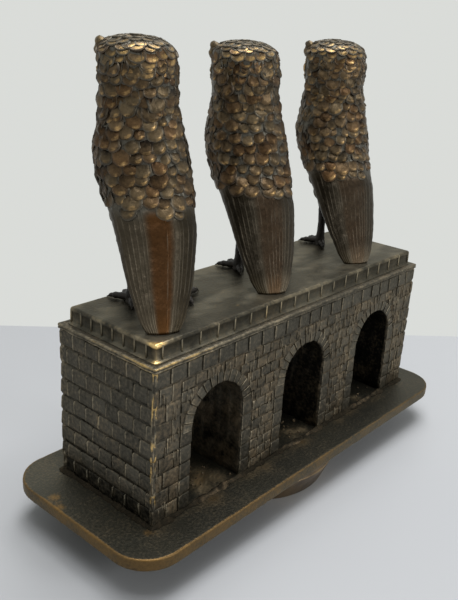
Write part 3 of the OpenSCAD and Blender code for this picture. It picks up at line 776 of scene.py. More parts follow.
def featherRules(form, face):            # which seats of a zone are kept
    faceWay = math.radians(face["turn"]) - math.pi / 2

    def offFace(angle, high):
        away = np.abs((angle - faceWay + math.pi) % (2 * math.pi) - math.pi)
        return (away > face["bareHalf"]) | (high > face["bareTop"])

    def wingLine(high):                  # wavy line between the back and a wing
        return form["wingFrom"] + form["wingWave"] * np.sin(40 * high)

    def onBack(angle, high):             # reaches lowest near the middle of the back
        ragged = form["scaleLow"] + 0.03 * (np.cos(angle) + 0.2) ** 2 + 0.012 * np.sin(11 * angle + 1)
        return (np.sin(angle) > wingLine(high)) & (high > ragged)

    def onWing(angle, high):
        return (np.sin(angle) > form["wingTo"]) & (np.sin(angle) < wingLine(high))

    def onBreast(angle, high):
        return np.sin(angle) < form["breastFrom"]

    return dict(back=onBack, wing=onWing, head=offFace, crown=offFace, breast=onBreast)


deckLow, deckTop = boxOf("deck")


def perch(form, shape):                  # where an owl stands on the deck
    x, y = (deckLow + deckTop)[:2] / 2
    spot = Vector((x + shape["step"] * form["pitch"], y + form["perchBack"], deckTop[2])) * mm
    return Matrix.Translation(spot) @ Matrix.Rotation(math.radians(-form["turn"]), 4, "Z")


def makeOwls(form, shapes, tail, face, leg, feathers):
    stamps = {zone: feather(zone + "Feather", **settings["stamp"]) for zone, settings in feathers.items()}
    rules = featherRules(form, face)
    for number, (node, shape) in enumerate(shapes.items()):
        dice = np.random.default_rng(40 + number)
        casting = Casting()
        owlBody(casting, form, shape, tail)
        owlFace(casting, form, shape, face)
        owlThighs(casting, leg)
        owl = casting.build(node.replace("_", "") + "Feathered")
        helpers = []
        for zone, settings in feathers.items():
            if zone == "top":
                seats = crownSeats(form, shape, settings, dice)
            else:
                seats = featherSeats(form, shape, settings, rules[zone], dice)
            seed = 7 * number + len(zone)
            helpers.append(plant(owl, seats, stamps[zone], finishes["owl"], seed=seed, **settings["loose"]))
        rough = form["waves"], form["calm"], form["height"] - shape["drop"]
        settle(owl, finishes["owl"], helpers, perch(form, shape), rough)
        handOver(owl, node)
    for stamp in stamps.values():
        bpy.data.objects.remove(stamp)


makeOwls(owlForm, owlShapes, tailForm, faceForm, legForm, featherForm)


# Legs: shank, toes with claws, tenon and stud

def makeLegs(form, owls, shapes):
    def toe(turn, long):
        root = form["toeThick"] / 2
        path = [(0, 0, root, root), (0, -0.30 * long, root * 1.1, root * 0.85),
                (0, -0.62 * long, root * 0.9, root * 0.78), (0, -0.82 * long, root * 0.7, root * 0.48),
                (0, -0.99 * long, root * 0.14, root * 0.10)]
        rows = tube(path, 8, 14)
        scutes = form["scuteDeep"] * np.sin(np.linspace(0, form["scuteRun"], len(rows)))[:, None, None]
        rows += scutes * unit(rows - rows.mean(axis=1, keepdims=True))
        rows[..., 2] = np.maximum(rows[..., 2], 0.02)
        return turned(rows, math.radians(turn))

    def rod(wide, low, high):
        r = wide / 2
        return lathe([(r - 0.15, low), (r, low + 0.2), (r, high - 0.2), (r - 0.15, high)], 24)

    for node in [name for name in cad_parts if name.endswith("_leg")]:
        owl, side = node.rsplit("_", 2)[0], leftSide if "_left_leg" in node else rightSide
        r = form["thick"] / 2
        casting = Casting()
        shank = tube([(0, 0, 0.1, r), (0, 0, 1.6, r * 0.9), (0, 0, 6, r * 0.72), (0, 0, 11, r * 0.8),
                      (0, 0, form["high"], r * 0.97)], 8, 24)
        shank[..., :2] *= 1 + 0.07 * ripple(shank, 1.7, 11)[..., None]
        casting.skin(shank, wear=0.25, tone=0.0, warm=0.4)
        for turn in form["toeTurns"]:
            casting.skin(toe(side * turn, form["toeLong"]), wear=0.4, tone=0.0, warm=0.4)
        hind = toe(180 - side * form["hindTurn"], form["toeLong"] * form["hindShort"])
        casting.skin(hind, wear=0.4, tone=0.0, warm=0.4)
        tenon = rod(form["tenonWide"], form["high"] - 0.5, form["high"] + form["tenonLong"])
        for rows in (tenon, rod(form["studWide"], -form["studLong"], 0.5)):
            casting.skin(rows, wear=0.3, tone=0.0, warm=0.2)
        leg = casting.build(node.replace("_", "") + "Clawed")
        aside = Matrix.Translation(Vector((form["middle"] + side * form["spread"] / 2, 0, 0)) * mm)
        settle(leg, finishes["leg"], (), perch(owls, shapes[owl]) @ aside)
        handOver(leg, node)


makeLegs(legForm, owlForm, owlShapes)


# Arcade wall: core with three arches, planted bricks, ring stones and a ledge

wallForm = dict(
    ledgeOut=0.4, ledgeHigh=1.4, archPitch=37.2, archWide=19.2, archSpring=22.3,
    courses=9, endBricks=7, longCourses=12, longBrick=3.7, soldierWide=5.4,
    endJoint=0.62, longJoint=0.36, upJoint=0.24, brickDeep=0.55, longDeep=0.36, ringStones=15, ringLong=3.4,
    jambWide=4.2, barkRibs=170, ribTries=900, ribLong=(1.6, 4.2), ribWide=0.40, cornerWide=0.65,
    cornerWorn=0.10, cutStray=0.7, shortest=1.4, riseStray=0.18, ledgeRadius=0.6, goldReach=34.0,
    jointTone=-0.2, archDark=(1.0, 0.75, 0.75, -0.5), calm=(-2.0, -1.0, 90.0, 91.0),
    waves=((4.2, 0.11, 81), (1.7, 0.06, 82)))


def blockStamp(name, lip, edge, taper=0.0):   # rough face with a light lip at one end
    x = np.array([-0.5, -0.485, -0.425, -0.38, 0.38, 0.46, 0.5])
    y = np.array([-0.5, -0.46, -0.36, 0.36, 0.46, 0.5])
    ends = np.array([0.6, 1.0, 1.0, 1 - lip, 1 - lip, 0.9 - lip, 0.4])
    swell = np.array([0.3, 0.75, 1.0, 1.0, 0.75, 0.3])
    rubbed = np.array([0.5, 0.95, 0.95, edge, edge, edge * 0.6, 0.0])
    u, v = np.meshgrid(x, y)
    corner = 1 - 0.05 * smoothStep(0.34, 0.5, np.abs(v))
    wear = np.outer(smoothStep(0.2, 0.9, swell), rubbed)
    top = np.stack([u * corner * (1 + taper * v), v, np.outer(swell, ends)], axis=-1)
    return stampFrom(name, top, -0.6, wear=wear)


def ribStamp(name, wear):                # thin raised line
    u, v = np.meshgrid([-0.5, -0.3, 0.3, 0.5], [-0.5, -0.42, 0.0, 0.42, 0.5])
    z = np.outer([0.3, 0.9, 1.0, 0.9, 0.3], [0.4, 1.0, 1.0, 0.4])
    return stampFrom(name, np.stack([u, v, z], axis=-1), -0.6, wear=wear * z)


def domeStamp(name, wear):               # small rounded lump
    u, v = np.meshgrid(np.linspace(-1, 1, 6), np.linspace(-1, 1, 6))
    x, y = u * np.sqrt(1 - v * v / 2), v * np.sqrt(1 - u * u / 2)
    z = np.sqrt(np.clip(1.02 - x * x - y * y, 0, 1))
    return stampFrom(name, np.stack([x / 2, y / 2, z], axis=-1), -0.5, wear=wear * (0.4 + 0.6 * z))


def gather(seats, place, up, along, size, tone, warm):
    for key, value in dict(place=place, up=up, along=along, size=size, tone=tone, warm=warm).items():
        seats.setdefault(key, []).append(value)


def archMiddles(form):
    return np.array([-1, 0, 1]) * form["archPitch"]


def arcadeCore(casting, form, long, wide, high):
    r, spring = form["archWide"] / 2, form["archSpring"]
    outline, arches = [(-long / 2, 0.0)], [0.0]
    for x in archMiddles(form):
        jamb = np.linspace(0, spring, 12)
        arc = np.linspace(0, math.pi, 31)[1:-1]
        ring = ([(x - r, z) for z in jamb] + [(x - r * math.cos(t), spring + r * math.sin(t)) for t in arc]
                + [(x + r, z) for z in jamb[::-1]])
        outline += ring
        arches += [1.0] * len(ring)
    outline = np.array(outline + [(long / 2, 0.0), (long / 2, high), (-long / 2, high)])
    inArch = np.array(arches + [0.0] * 3)
    slices = 36
    depth = np.linspace(-wide / 2, wide / 2, slices)[:, None]
    rows = np.stack([np.repeat(outline[None, :, 0], slices, 0), np.repeat(depth, len(outline), 1),
                     np.repeat(outline[None, :, 1], slices, 0)], axis=-1)
    middle = np.round(outline[:, 0] / form["archPitch"]) * form["archPitch"]
    outward = np.column_stack([outline[:, 0] - middle, 0 * middle, np.maximum(outline[:, 1] - spring, 0)])
    outward = outward / np.maximum(np.linalg.norm(outward, axis=1, keepdims=True), 0.01)
    rough = 0.25 + 0.20 * ripple(rows, 3.5, 21) + 0.15 * ripple(rows, 1.3, 22)
    rows = rows + (rough * inArch)[..., None] * outward
    rust = smoothStep(0.2, 0.9, ripple(rows, 9, 23))
    grit = smoothStep(0.5, 1.0, ripple(rows, 2.2, 24))
    blotch = ripple(rows, 3.4, 25) * np.interp(rows[..., 0] / form["archPitch"], (0.4, 0.6), (0.4, 1.3))
    # painted light and shade: the insides of the far and middle arches are darkened, that of the near arch
    # lightened
    dark = np.interp(rows[..., 0] / form["archPitch"], (-0.6, -0.4, 0.4, 0.6), form["archDark"])
    tone = inArch * (0.5 * rust + blotch - dark) - 1.2
    tone[[0, -1]] = form["jointTone"]    # joints of the long faces are paler than those of the ends
    casting.skin(rows, wear=inArch * 0.55 * grit, warm=0.2 + inArch * (0.4 + 0.6 * rust), tone=tone)


def inBark(form, x, z, plain):           # the rough brickwork between the arches
    away = np.abs(x - np.round(np.clip(x / form["archPitch"], -1, 1)) * form["archPitch"])
    outer = form["archWide"] / 2 + form["ringLong"]
    overArch = np.hypot(away, z - form["archSpring"]) > outer
    besideArch = away > form["archWide"] / 2 + form["jambWide"]
    return (z < plain) & np.where(z < form["archSpring"], besideArch, overArch)


def longSeats(form, long, wide, high, side, dice):   # one long face
    bricks, ribs = {}, {}
    r, outer, deep = form["archWide"] / 2, form["archWide"] / 2 + form["ringLong"], form["longDeep"]
    course = high / form["courses"]
    plain = high - course
    small = plain / form["longCourses"]
    face = side * (wide / 2 - deep)
    pier = form["archPitch"] + r + form["jambWide"]

    def lay(low, end, z, tall, joint, depth, tone, warm):
        gather(bricks, [(low + end) / 2, face, z], [0, side, 0], [0, 0, 1],
               [end - low - form["upJoint"], tall - joint, depth], tone, warm)

    def fill(low, end, row, z, tall, brick):   # bricks of one course between two stops
        stray, shortest, rise = form["cutStray"], form["shortest"], form["riseStray"]
        steps = np.arange(-20, 21)
        grid = (steps + 0.5 * (row % 2)) * brick + dice.uniform(-stray, stray, len(steps))
        cuts = [low] + [x for x in grid if low + shortest < x < end - shortest] + [end]
        for a, b in zip(cuts, cuts[1:]):
            lay(a, b, z + dice.uniform(-rise, rise), tall, form["longJoint"],
                deep * dice.uniform(0.6, 1.0), dice.uniform(-0.7, 0.9), dice.uniform(0.2, 1.0))

    for row in range(form["longCourses"]):
        z = (row + 0.5) * small
        above = max(outer ** 2 - (z - form["archSpring"]) ** 2, 0)
        clear = r + form["jambWide"] if z < form["archSpring"] else math.sqrt(above)
        stops = [-pier] + [x + way * clear for x in archMiddles(form) for way in (-1, 1)] + [pier]
        for low, end in zip(stops[::2], stops[1::2]):
            if end - low > 0.5:
                fill(low, end, row, z, small, form["longBrick"])
    for row in range(form["courses"] - 1):   # end piers keep the courses of the end walls
        for way in bothSides:
            low, end = sorted([way * pier, way * long / 2])
            fill(low, end, row, (row + 0.5) * course, course, wide / form["endBricks"])
    count = round(long / form["soldierWide"])
    cuts = (np.arange(count + 1) / count - 0.5) * long
    cuts[1:-1] += dice.uniform(-0.5, 0.5, count - 1)
    for a, b in zip(cuts, cuts[1:]):
        lay(a, b, plain + course / 2, course, form["endJoint"], deep, dice.uniform(-0.5, 0.2), 0.0)
    for x in archMiddles(form):
        for way in bothSides:
            jamb = x + way * (r + form["jambWide"] / 2)
            for z in np.arange(0.5, form["archSpring"] / course) * course:
                lay(jamb - form["jambWide"] / 2, jamb + form["jambWide"] / 2, z, course, form["longJoint"],
                    deep * 0.8, dice.uniform(-0.6, 0.2), dice.uniform(0, 0.3))
    tries = form["ribTries"]
    x, z = dice.uniform(-long / 2 + 1, long / 2 - 1, tries), dice.uniform(1.5, plain - 1.5, tries)
    kept = np.flatnonzero(inBark(form, x, z, plain))[:form["barkRibs"]]
    for k in kept:
        gather(ribs, [x[k], face, z[k]], [0, side, 0], [0, 0, 1],
               [form["ribWide"], dice.uniform(*form["ribLong"]), deep], dice.uniform(-0.3, 0.5), 0.6)
    return bricks, ribs


def endSeats(form, long, wide, high, side, dice):   # one end face, its lowest course set back behind ribs and darkened with painted shade
    bricks, ribs = {}, {}
    deep = form["brickDeep"]
    course, step = high / form["courses"], wide / form["endBricks"]
    face = side * (long / 2 - deep)
    for row in range(form["courses"]):
        shift = (np.arange(form["endBricks"] + 2) - 0.5 * (row % 2)) * step
        cuts = np.unique(np.clip(shift, 0, wide)) - wide / 2
        cuts[1:-1] += dice.uniform(-0.25, 0.25, len(cuts) - 2)
        lowest = row == 0
        for a, b in zip(cuts, cuts[1:]):
            z = (row + 0.5) * course + dice.uniform(-0.12, 0.12)
            depth = deep * (0.3 if lowest else dice.uniform(0.85, 1.0))
            # painted shade in the set-back lowest course
            tone = -1.7 if lowest else dice.uniform(-0.4, 0.5)
            gather(bricks, [face, (a + b) / 2, z], [side, 0, 0], [0, 0, 1],
                   [b - a - form["upJoint"], course - form["endJoint"], depth], tone, dice.uniform(0, 0.25))
            if lowest and a > -wide / 2:
                gather(ribs, [face, a, course * 0.62], [side, 0, 0], [0, 0, 1],
                       [form["ribWide"], course * 0.7, deep], 0.3, 0.1)
    return bricks, ribs


def ringSeats(form, wide, dice):
    seats = {}
    middle = form["archWide"] / 2 + form["ringLong"] / 2
    stone = math.pi * middle / form["ringStones"]
    for x in archMiddles(form):
        for side in bothSides:
            start = np.array([x, side * (wide / 2 - form["longDeep"]), form["archSpring"]])
            for t in (np.arange(form["ringStones"]) + 0.5) / form["ringStones"] * math.pi:
                out = np.array([math.cos(t), 0, math.sin(t)])
                gather(seats, start + out * middle, [0, side, 0], out,
                       [stone - form["upJoint"], form["ringLong"] - 0.2, form["longDeep"]],
                       dice.uniform(-0.4, 0.6), dice.uniform(0, 0.5))
    return seats


def wallCorners(casting, form, long, wide, high):   # worn upright edges, with a painted gold highlight on the one nearest the camera
    r = form["cornerWide"]
    for end in bothSides:
        for side in bothSides:
            x, y = end * (long / 2 - r), side * (wide / 2 - r)
            rows = tube([(x, y, z, r) for z in np.linspace(0.1, high, 60)], 2, 12)
            worn = form["cornerWorn"] * (1 + ripple(rows, 2.6, 27))
            rows[..., :2] -= worn[..., None] * np.array([end, side])
            # painted highlight: the corner nearest the camera gets far more gold
            near = 1.5 if end + side == 2 else 0.4
            patchy = 0.45 + near * smoothStep(-0.6, 0.6, ripple(rows, 6, 28))
            casting.skin(rows, wear=patchy, tone=0.0, warm=0.3)


def nearCornerHighlight(points, corner, reach):     # painted highlight: 1 at the corner nearest the camera, fading along both edges
    return np.exp(-np.linalg.norm(points[..., :2] - corner, axis=-1) / reach)


def makeWall(form):
    low, top = boxOf("arcade_wall")
    long, wide = (top - low)[:2] - 2 * form["ledgeOut"]
    high = top[2] - low[2]
    ledge = form["ledgeHigh"]
    dice = np.random.default_rng(5)
    casting = Casting()
    arcadeCore(casting, form, long - 2 * form["brickDeep"], wide - 2 * form["longDeep"], high - 0.05)
    nose = [(0.9, -ledge), (0.14, -ledge + 0.05), (0.02, -ledge + 0.22), (0.04, -ledge + 0.45),
            (0.22, -ledge + 0.60), (0.03, -ledge + 0.76), (0.0, -0.40), (0.06, -0.14), (0.28, 0.0),
            (1.2, 0.0), (3.4, 0.0), (3.4, -ledge)]
    rub = np.array([0, 0.4, 0.9, 0.6, 0.0, 0.7, 0.95, 0.95, 0.7, 0.1, 0.0, 0])
    loops = boxStack(top[0] - low[0], top[1] - low[1], form["ledgeRadius"], (5, 90, 28), nose)
    loops[..., :2] -= 0.06 * (1 + ripple(loops, 5, 31))[..., None] * np.sign(loops[..., :2])
    # painted highlight: the ledge's rubbed gold grows towards the corner nearest the camera
    gold = nearCornerHighlight(loops, (top - low)[:2] / 2, form["goldReach"])
    wear = rub[:, None] * (0.62 + 1.1 * gold)
    casting.skin(loops + [0, 0, high], "joined", wear=wear, tone=-0.2, warm=0.25)
    wallCorners(casting, form, long, wide, high - ledge)
    wall = casting.build("brickArcade")
    brick, ringStone = blockStamp("brick", 0.3, 0.06), blockStamp("ringStone", 0.3, 0.12, 0.3)
    barkRib = ribStamp("barkRib", 0.8)
    helpers = []

    def lay(seats, stamp, seed, turn=0.04, spread=0.03):
        helpers.append(plant(wall, seats, stamp, finishes["wall"], turn=turn, spread=spread, seed=seed))

    lay(ringSeats(form, wide, dice), ringStone, 4)
    for side in bothSides:
        faces = [seatsOf(form, long, wide, high - ledge, side, dice) for seatsOf in (longSeats, endSeats)]
        for number, (bricks, ribs) in enumerate(faces):
            seed = 10 * number + side + 20
            lay(bricks, brick, seed)
            lay(ribs, barkRib, seed + 5, turn=0.12, spread=0.05)
    rough = form["waves"], form["calm"], high
    settle(wall, finishes["wall"], helpers + [brick, ringStone, barkRib], standing(low, top), rough)
    handOver(wall, "arcade_wall")


makeWall(wallForm)


# Deck: half-gloss top, worn edge with a painted gold highlight at the near corner, panels between thin ribs

deckForm = dict(
    panelBack=0.30, ribPitch=6.3, endRibPitch=4.0, ribWide=0.55, ribDeep=0.30, ribShare=0.92, ribMiddle=0.47,
    coveOut=0.55, footDark=4.5, tailDark=4.0, cornerRadius=0.7, goldReach=3.5, blobBack=0.6, blobWide=1.3,
    fleck=(23.3, 10.5, 0.9))


def spots(points, marks):                # soft patches: (x, y, size)
    total = np.zeros(points.shape[:-1])
    for x, y, size in marks:
        total += np.exp(-(np.linalg.norm(points[..., :2] - [x, y], axis=-1) / size) ** 2)
    return total


def deckRibs(form, long, wide, high):    # thin upright ribs on all four sides
    seats = {}
    size = [form["ribWide"], high * form["ribShare"], form["ribDeep"]]
    back, z = form["panelBack"], high * form["ribMiddle"]
    for side in bothSides:
        for x in np.arange(-long / 2 + 0.5, long / 2, form["ribPitch"]):
            gather(seats, [x, side * (wide / 2 - back), z], [0, side, 0], [0, 0, 1], size, 2.2, 0.2)
        for y in np.arange(-wide / 2 + 0.5, wide / 2, form["endRibPitch"]):
            gather(seats, [side * (long / 2 - back), y, z], [side, 0, 0], [0, 0, 1], size, 1.0, 0.2)
    return seats


def makeDeck(form, leg, owls, shapes):
    long, wide, high = deckTop - deckLow
    middle = (deckLow + deckTop) / 2
    back, cove = form["panelBack"], form["coveOut"]
    profile = [(back + 1, 0.0), (-cove, 0.0), (0.06 - cove, 0.10), (-0.15, 0.26), (0.15, 0.46), (back, 0.75),
               (back, high - 1.3), (0.08, high - 1.05), (0.02, high - 0.70), (0.16, high - 0.32),
               (0.46, high - 0.09)]
    rub = [0.1, 0.3, 0.4, 0.3, 0.2, 0.1, 0.1, 0.5, 0.7, 0.75, 0.6]
    sideRows, brim = 7, len(profile)
    for inset in np.arange(0.95, wide / 2 - 0.3, 0.62):
        profile.append((inset, high - 0.02))
        rub.append(0.45 if inset < 1.5 else 0.25)
    rows = boxStack(long, wide, form["cornerRadius"], (7, 104, 32), profile)
    rows[brim:, :, 2] -= 0.05 * (1 + ripple(rows[brim:], 9, 41))
    # painted highlight: gold towards the corner nearest the camera, and a painted glint spot just inside that
    # corner
    gold = nearCornerHighlight(rows, (long / 2, wide / 2), form["goldReach"])
    smear = smoothStep(-0.3, 0.9, ripple(rows * [0.6, 1.4, 1], 12, 42) + 0.5 * ripple(rows, 3.5, 43))
    cornerGlint = long / 2 - form["blobBack"], wide / 2 - form["blobBack"], form["blobWide"]
    world = rows + [middle[0], middle[1], deckLow[2]]
    wear = np.array(rub)[:, None] * (0.85 + 1.6 * gold) + 0.2 * smear + 0.9 * spots(rows, [cornerGlint])
    wear += 1.2 * spots(world, [form["fleck"]])
    tone = 1.8 * smear - 1.0 + 0.3 * (np.arange(len(rows)) < sideRows)[:, None]
    # painted shade: the deck is darkened round each foot and the end of each tail
    paintedShadeSpots = [(leg["middle"] + side * leg["spread"] / 2, 0, form["footDark"]) for side in bothSides]
    paintedShadeSpots.append((0, owls["tailBack"] - 2, form["tailDark"]))   # painted shade under each foot and tail
    for shape in shapes.values():
        for x, y, reach in paintedShadeSpots:
            under = np.array(perch(owls, shape) @ (Vector((x, y, 0)) * mm))[:2] / mm
            tone = tone - 1.2 * spots(world, [(*under, reach)])
    deck = castOne("ribbedDeck", rows, wear=wear, tone=tone, warm=0.3)
    rib = ribStamp("rib", 0.95)
    seats = deckRibs(form, long, wide, high)
    helpers = [plant(deck, seats, rib, finishes["deck"], turn=0.04, spread=0.08, seed=2), rib]
    settle(deck, finishes["deck"], helpers, standing(deckLow, deckTop))
    handOver(deck, "deck")


makeDeck(deckForm, legForm, owlForm, owlShapes)


# Plate, braze fillet and turned foot

plateForm = dict(
    cornerRadius=10.6, rimRough=0.10, boltWide=8.2, boltDeep=2.7, headWide=7.6, headDeep=2.4,
    tieX=(53.4, 18.6), tieY=8.0, goldReach=45.0, dustAt=18.9, dustWide=1.5,
    scuffs=((67.8, -9.7, 2.2), (69.4, -5.4, 1.6), (60.1, 17.3, 1.8)),
    dirt=((38.9, 19.9, 2.4), (37.6, 15.0, 3.0), (33.0, 9.0, 3.5), (39.0, 3.0, 3.0), (18.7, 16.7, 1.6),
          (-1.6, 17.4, 2.0), (-3.5, 12.0, 2.5), (-27.5, 16.5, 2.2), (17.0, 19.5, 2.0), (-20.0, 19.0, 1.8),
          (30.5, 13.5, 2.6), (36.5, 11.0, 2.6), (-7.0, 14.0, 2.2), (1.5, 9.0, 2.8), (-37.0, 14.0, 2.2)),
    floorFrom=18.5, floorTo=15.0, floorTone=5.0)


def plateRows(form, long, wide, thick):   # underside, rim and flat top, with the row where the top begins
    profile = [(16.0, 0.0), (3.0, 0.0), (0.5, 0.02), (0.12, 0.25), (0.02, 0.6), (0.02, 1.4), (0.02, 2.2),
               (0.02, thick - 0.5), (0.10, thick - 0.18), (0.40, thick - 0.02)]
    brim = len(profile) - 1
    profile += [(inset, thick - 0.02) for inset in np.arange(0.9, 24, 1.0)]
    rows = boxStack(long, wide, form["cornerRadius"], (14, 110, 40), profile)
    row = np.arange(len(rows))
    inward = unit(rows[:, :, :2] * [wide / long, 1]) * form["rimRough"]
    bumpy = 0.5 + 0.35 * ripple(rows, 4.5, 51) + 0.3 * ripple(rows, 1.8, 52)
    onRim = smoothStep(0, 2, row) * (1 - smoothStep(brim - 2, brim + 2, row))
    rows[..., :2] -= inward * np.clip(bumpy, 0, 1.4)[..., None] * onRim[:, None, None]
    rows[brim:, :, 2] -= 0.05 * (1 + ripple(rows[brim:], 12, 53))
    return rows, brim


def plateMarks(form, rows, brim, corner, dustTo):   # gold rim with a painted highlight towards the near corner, painted sheen at the ends, painted light at the near end and painted shade towards the far end of the top, scuffs and dirt under the arches
    x, y, row = rows[..., 0], rows[..., 1], np.arange(len(rows))[:, None]
    inner = [0.1] * (len(rows) - brim - 1)
    rub = np.array([0, 0, 0.4, 0.62, 0.65, 0.68, 0.7, 0.75, 0.95, 0.75] + inner)[:, None]
    warm = np.array([0.8] * brim + [0.5] + inner)[:, None]
    flat = row >= brim
    # painted sheen: the top is made lighter towards its ends, most at the near end
    paintedSheen = smoothStep(46, 68, np.abs(x)) * smoothStep(18, -22, y)
    paintedSheen = paintedSheen * (0.7 + 0.3 * np.sign(x)) * (row > brim)
    # painted highlight: the rim's rubbed gold grows towards the corner nearest the camera
    gold = nearCornerHighlight(rows, corner, form["goldReach"])
    wear = rub * (0.8 + 0.75 * gold) + 0.22 * paintedSheen + 0.7 * flat * spots(rows, form["scuffs"])
    band = np.exp(-((y - form["dustAt"]) / form["dustWide"]) ** 2) * (np.abs(x) < dustTo)
    dusty = 0.8 * band * smoothStep(-0.8, 0.9, ripple(rows, 9, 56))
    dirty = flat * (spots(rows, form["dirt"]) + dusty)
    crusty = dirty * (0.4 + smoothStep(-0.3, 0.7, ripple(rows, 3.0, 57)))
    # painted light at the near end of the top, painted shade towards its far end
    lighter = 0.8 * smoothStep(54, 66, x) - 0.45 * smoothStep(15, -35, x) * (1 - paintedSheen)
    tone = 1.3 * paintedSheen + 0.6 * (1 - flat) + flat * lighter
    tone = tone + form["floorTone"] * crusty * smoothStep(form["floorFrom"], form["floorTo"], y)
    return dict(wear=wear + 0.4 * dirty, tone=tone, warm=warm + dirty)


def boltHoles(form, middle, z):          # cuts for the foot bolt and the four tie bolts
    holes = Casting()
    bolt, head = form["boltWide"] / 2, form["headWide"] / 2
    holes.skin(lathe([(bolt, -0.5), (bolt, form["boltDeep"])], 40) + [0, 0, z], tone=-0.5)
    for way, x in zip(bothSides, form["tieX"]):
        for side in bothSides:
            sunk = lathe([(head, -0.5), (head, 0.2), (head - 1.7, form["headDeep"])], 32)
            holes.skin(sunk + [middle[0] + side * x, middle[1] + form["tieY"] * way, z], tone=-0.5)
    return holes.build("boltHoles")


def makePlate(form):
    low, top = boxOf("base_plate")
    wallLow, wallTop = boxOf("arcade_wall")
    long, wide, thick = top - low
    rows, brim = plateRows(form, long, wide, thick)
    marks = plateMarks(form, rows, brim, (long / 2, wide / 2), wallTop[0])
    plate = castOne("roundedPlate", rows + [0, 0, low[2]], **marks)
    cutter = boltHoles(form, (wallLow + wallTop) / 2, low[2])
    cut = plate.modifiers.new("boltHoles", "BOOLEAN")
    cut.operation, cut.solver, cut.object = "DIFFERENCE", "EXACT", cutter
    settle(plate, finishes["plate"], [cutter])
    handOver(plate, "base_plate")


filletForm = dict(
    wide=1.6, high=0.9, cornerRadius=1.2, crumbs=180, crumbSize=(0.3, 0.8), crumbSpread=4.2, crumbReach=8.6)


def makeFillet(form, wall):
    low, top = boxOf("wall_fillet")
    long, wide = (top - low)[:2]
    outline = long, wide, form["cornerRadius"], (8, 150, 46)
    profile = [(0.0, 0.0), (0.25, 0.05), (0.60, 0.16), (1.0, 0.36), (1.35, 0.62),
               (form["wide"], form["high"]), (form["wide"] + 0.5, form["high"]), (form["wide"] + 0.5, 0.0)]
    rows = boxStack(*outline, profile)
    inner = boxStack(*outline, [(form["wide"], 0.0)])
    lumps = np.clip(0.62 + 0.3 * ripple(inner, 7, 61) + 0.2 * ripple(inner, 2.2, 62), 0.3, 1.0)
    rows = inner + (rows - inner) * lumps[..., None]
    sill = spots(rows * [1, 0, 1], [(x, 0, wall["archWide"] / 2 - 1) for x in archMiddles(wall)])
    sill = sill * smoothStep(-0.5, 0.7, ripple(rows, 3.0, 63))
    warm = 0.2 + 0.6 * (lumps - 0.6) + 0.6 * sill
    # the fillet is darkened throughout to the plate's dark tone, deepened into painted shade at the foot of
    # the wall; the sill patches are lighter crust
    fillet = castOne("brazeFillet", rows, "joined", wear=0.1 + 0.3 * sill, tone=4.0 * sill - 1.5, warm=warm)
    dice = np.random.default_rng(8)
    count, reach = form["crumbs"], form["crumbReach"]
    arch = dice.choice(archMiddles(wall), count)
    x = arch + dice.normal(0, form["crumbSpread"], count).clip(-reach, reach)
    y = dice.uniform(-0.5, 0.5, count) * (wide - 4)
    place = np.column_stack([x, y, np.zeros(count)])
    size = dice.uniform(*form["crumbSize"], (count, 1)) * [1, 1, 0.6]
    tone = dice.uniform(1.5, 4.0, count)
    crumb = domeStamp("crumb", 0.75)
    seats = dict(place=place, up=[0, 0, 1], along=[0, 1, 0], size=size, tone=tone, warm=0.9)
    helpers = [plant(fillet, seats, crumb, finishes["braze"], turn=1.2, spread=0.3, seed=9), crumb]
    settle(fillet, finishes["braze"], helpers, standing(low, top))
    handOver(fillet, "wall_fillet")


footForm = dict(
    baseWide=47.0, boreWide=21.4, webThick=4.2, boltWide=8.2, grooveDeep=0.9, collarHigh=1.8, grooveHigh=1.2)


def makeFoot(form):
    low, top = boxOf("round_foot")
    r, high = (top - low)[0] / 2, top[2] - low[2]
    base = form["baseWide"] / 2
    bore, hole, web = form["boreWide"] / 2, form["boltWide"] / 2, high - form["webThick"]
    grooveTop = high - form["collarHigh"]
    grooveLow = grooveTop - form["grooveHigh"]
    profile = [(bore, 0.3), (bore + 0.3, 0.0), (base - 0.9, 0.0), (base - 0.25, 0.25), (base + 0.1, 0.9),
               (r - 0.1, grooveLow - 0.25), (r - 0.15, grooveLow),
               (r - form["grooveDeep"], (grooveLow + grooveTop) / 2), (r - 0.12, grooveTop),
               (r, grooveTop + 0.25), (r, high - 0.4), (r - 0.3, high - 0.03), (r - 1, high),
               (hole, high), (hole, web), (bore, web)]
    rub = np.array([0.2, 0.3, 0.3, 0.8, 0.5, 0.4, 0.7, 0.0, 0.7, 0.4, 0.5, 0.7, 0.1, 0.1, 0.1, 0.1])
    foot = castOne("turnedFoot", lathe(profile, 128) + [0, 0, low[2]], "joined", wear=rub[:, None])
    bevel = foot.modifiers.new("softEdges", "BEVEL")
    bevel.width, bevel.segments, bevel.limit_method = 0.12 * mm, 2, "ANGLE"
    settle(foot, finishes["foot"])
    handOver(foot, "round_foot")


makePlate(plateForm)
makeFillet(filletForm, wallForm)
makeFoot(footForm)


# Bolts, washers and nuts keep their solids

hardware = dict(
    foot_bolt="steel", foot_washer="steel", tie_bolts="steel", stud_washers="steel", stud_nuts="braze")
for node, finish in hardware.items():
    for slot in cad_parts[node].material_slots:
        slot.material = finishes[finish]
print("hardware finished:", ", ".join(hardware))


# Table, light and camera

stageForm = dict(
    tableColour=tint(0.484, 0.496, 0.522), backColour=tint(0.70, 0.715, 0.69),
    farEdge=((0.5, -142.6), (-146.2, 1.4)), tableHalf=1500.0, tableDeep=1800.0, roomLight=0.34)


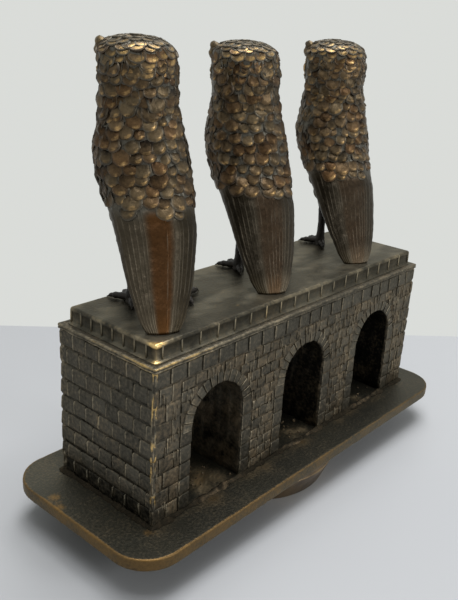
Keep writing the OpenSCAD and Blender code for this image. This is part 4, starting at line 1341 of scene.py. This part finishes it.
def makeStage(form):
    start, end = np.array(form["farEdge"])
    along = unit(end - start)
    near = np.array([along[1], -along[0]])
    near = near if near @ start < 0 else -near
    middle = (start + end) / 2
    half, deep = along * form["tableHalf"], near * form["tableDeep"]
    corners = [middle - half, middle + half, middle + half + deep, middle - half + deep]
    mesh = bpy.data.meshes.new("paleTable")
    mesh.from_pydata([(x * mm, y * mm, 0.0) for x, y in corners], [], [(0, 1, 2, 3)])
    if mesh.polygons[0].normal.z < 0:
        mesh.flip_normals()
    paint = Finish("tableTop")
    cloud = paint.noise(120, 2)
    colour = paint.blend(cloud * 0.2, form["tableColour"], form["backColour"])
    mesh.materials.append(paint.done({"Base Color": colour, "Roughness": 0.55}))
    table = addObject("paleTable", mesh)
    world = bpy.data.worlds.new("paleRoom")
    world.use_nodes = True
    room = Tree(world.node_tree)
    room.tree.nodes.clear()
    seen = 0
    for ray in ("Is Camera Ray", "Is Glossy Ray", "Is Transmission Ray"):
        seen = room.node("ShaderNodeLightPath", {}, {}, ray) + seen
    strength = seen.sum("MINIMUM", seen, 1.0) * (1 - form["roomLight"]) + form["roomLight"]
    glow = room.node("ShaderNodeBackground", {}, {"Color": form["backColour"], "Strength": strength})
    room.node("ShaderNodeOutputWorld", {}, {"Surface": glow})
    bpy.context.scene.world = world


lampForm = dict(softBox=dict(place=(150, 110, 780), size=380, power=2.3),
                skyPanel=dict(place=(-180, -40, 700), size=420, power=3.2),
                window=dict(place=(-160, 620, 300), size=140, power=1.0))


def makeLamps(lamps):
    target = Vector((0, 0, 70)) * mm
    for name, lamp in lamps.items():
        light = bpy.data.lights.new(name, "AREA")
        light.size, light.energy = lamp["size"] * mm, lamp["power"]
        holder = addObject(name, light)
        holder.location = Vector(lamp["place"]) * mm
        holder.rotation_euler = (target - holder.location).to_track_quat("-Z", "Y").to_euler()


cameraForm = dict(place=(163.288, 127.204, 131.888), way=(-0.709935, -0.607929, -0.355547), roll=3.342,
                  lens=44.91, sensor=36.0)


def makeCamera(form):
    ahead = Vector(form["way"]).normalized()
    right = ahead.cross(Vector((0, 0, 1))).normalized()
    up = right.cross(ahead)
    c, s = math.cos(math.radians(form["roll"])), math.sin(math.radians(form["roll"]))
    right, up = right * c + up * s, up * c - right * s
    data = bpy.data.cameras.new("photoCamera")
    data.lens, data.sensor_width, data.clip_start = form["lens"], form["sensor"], 0.01
    camera = addObject("photoCamera", data)
    turn = Matrix((right, up, -ahead)).transposed().to_4x4()
    camera.matrix_world = Matrix.Translation(Vector(form["place"]) * mm) @ turn
    bpy.context.scene.camera = camera


makeStage(stageForm)
makeLamps(lampForm)
makeCamera(cameraForm)
bpy.context.scene.view_settings.view_transform = "Standard"
print("stage, lamps and camera set")
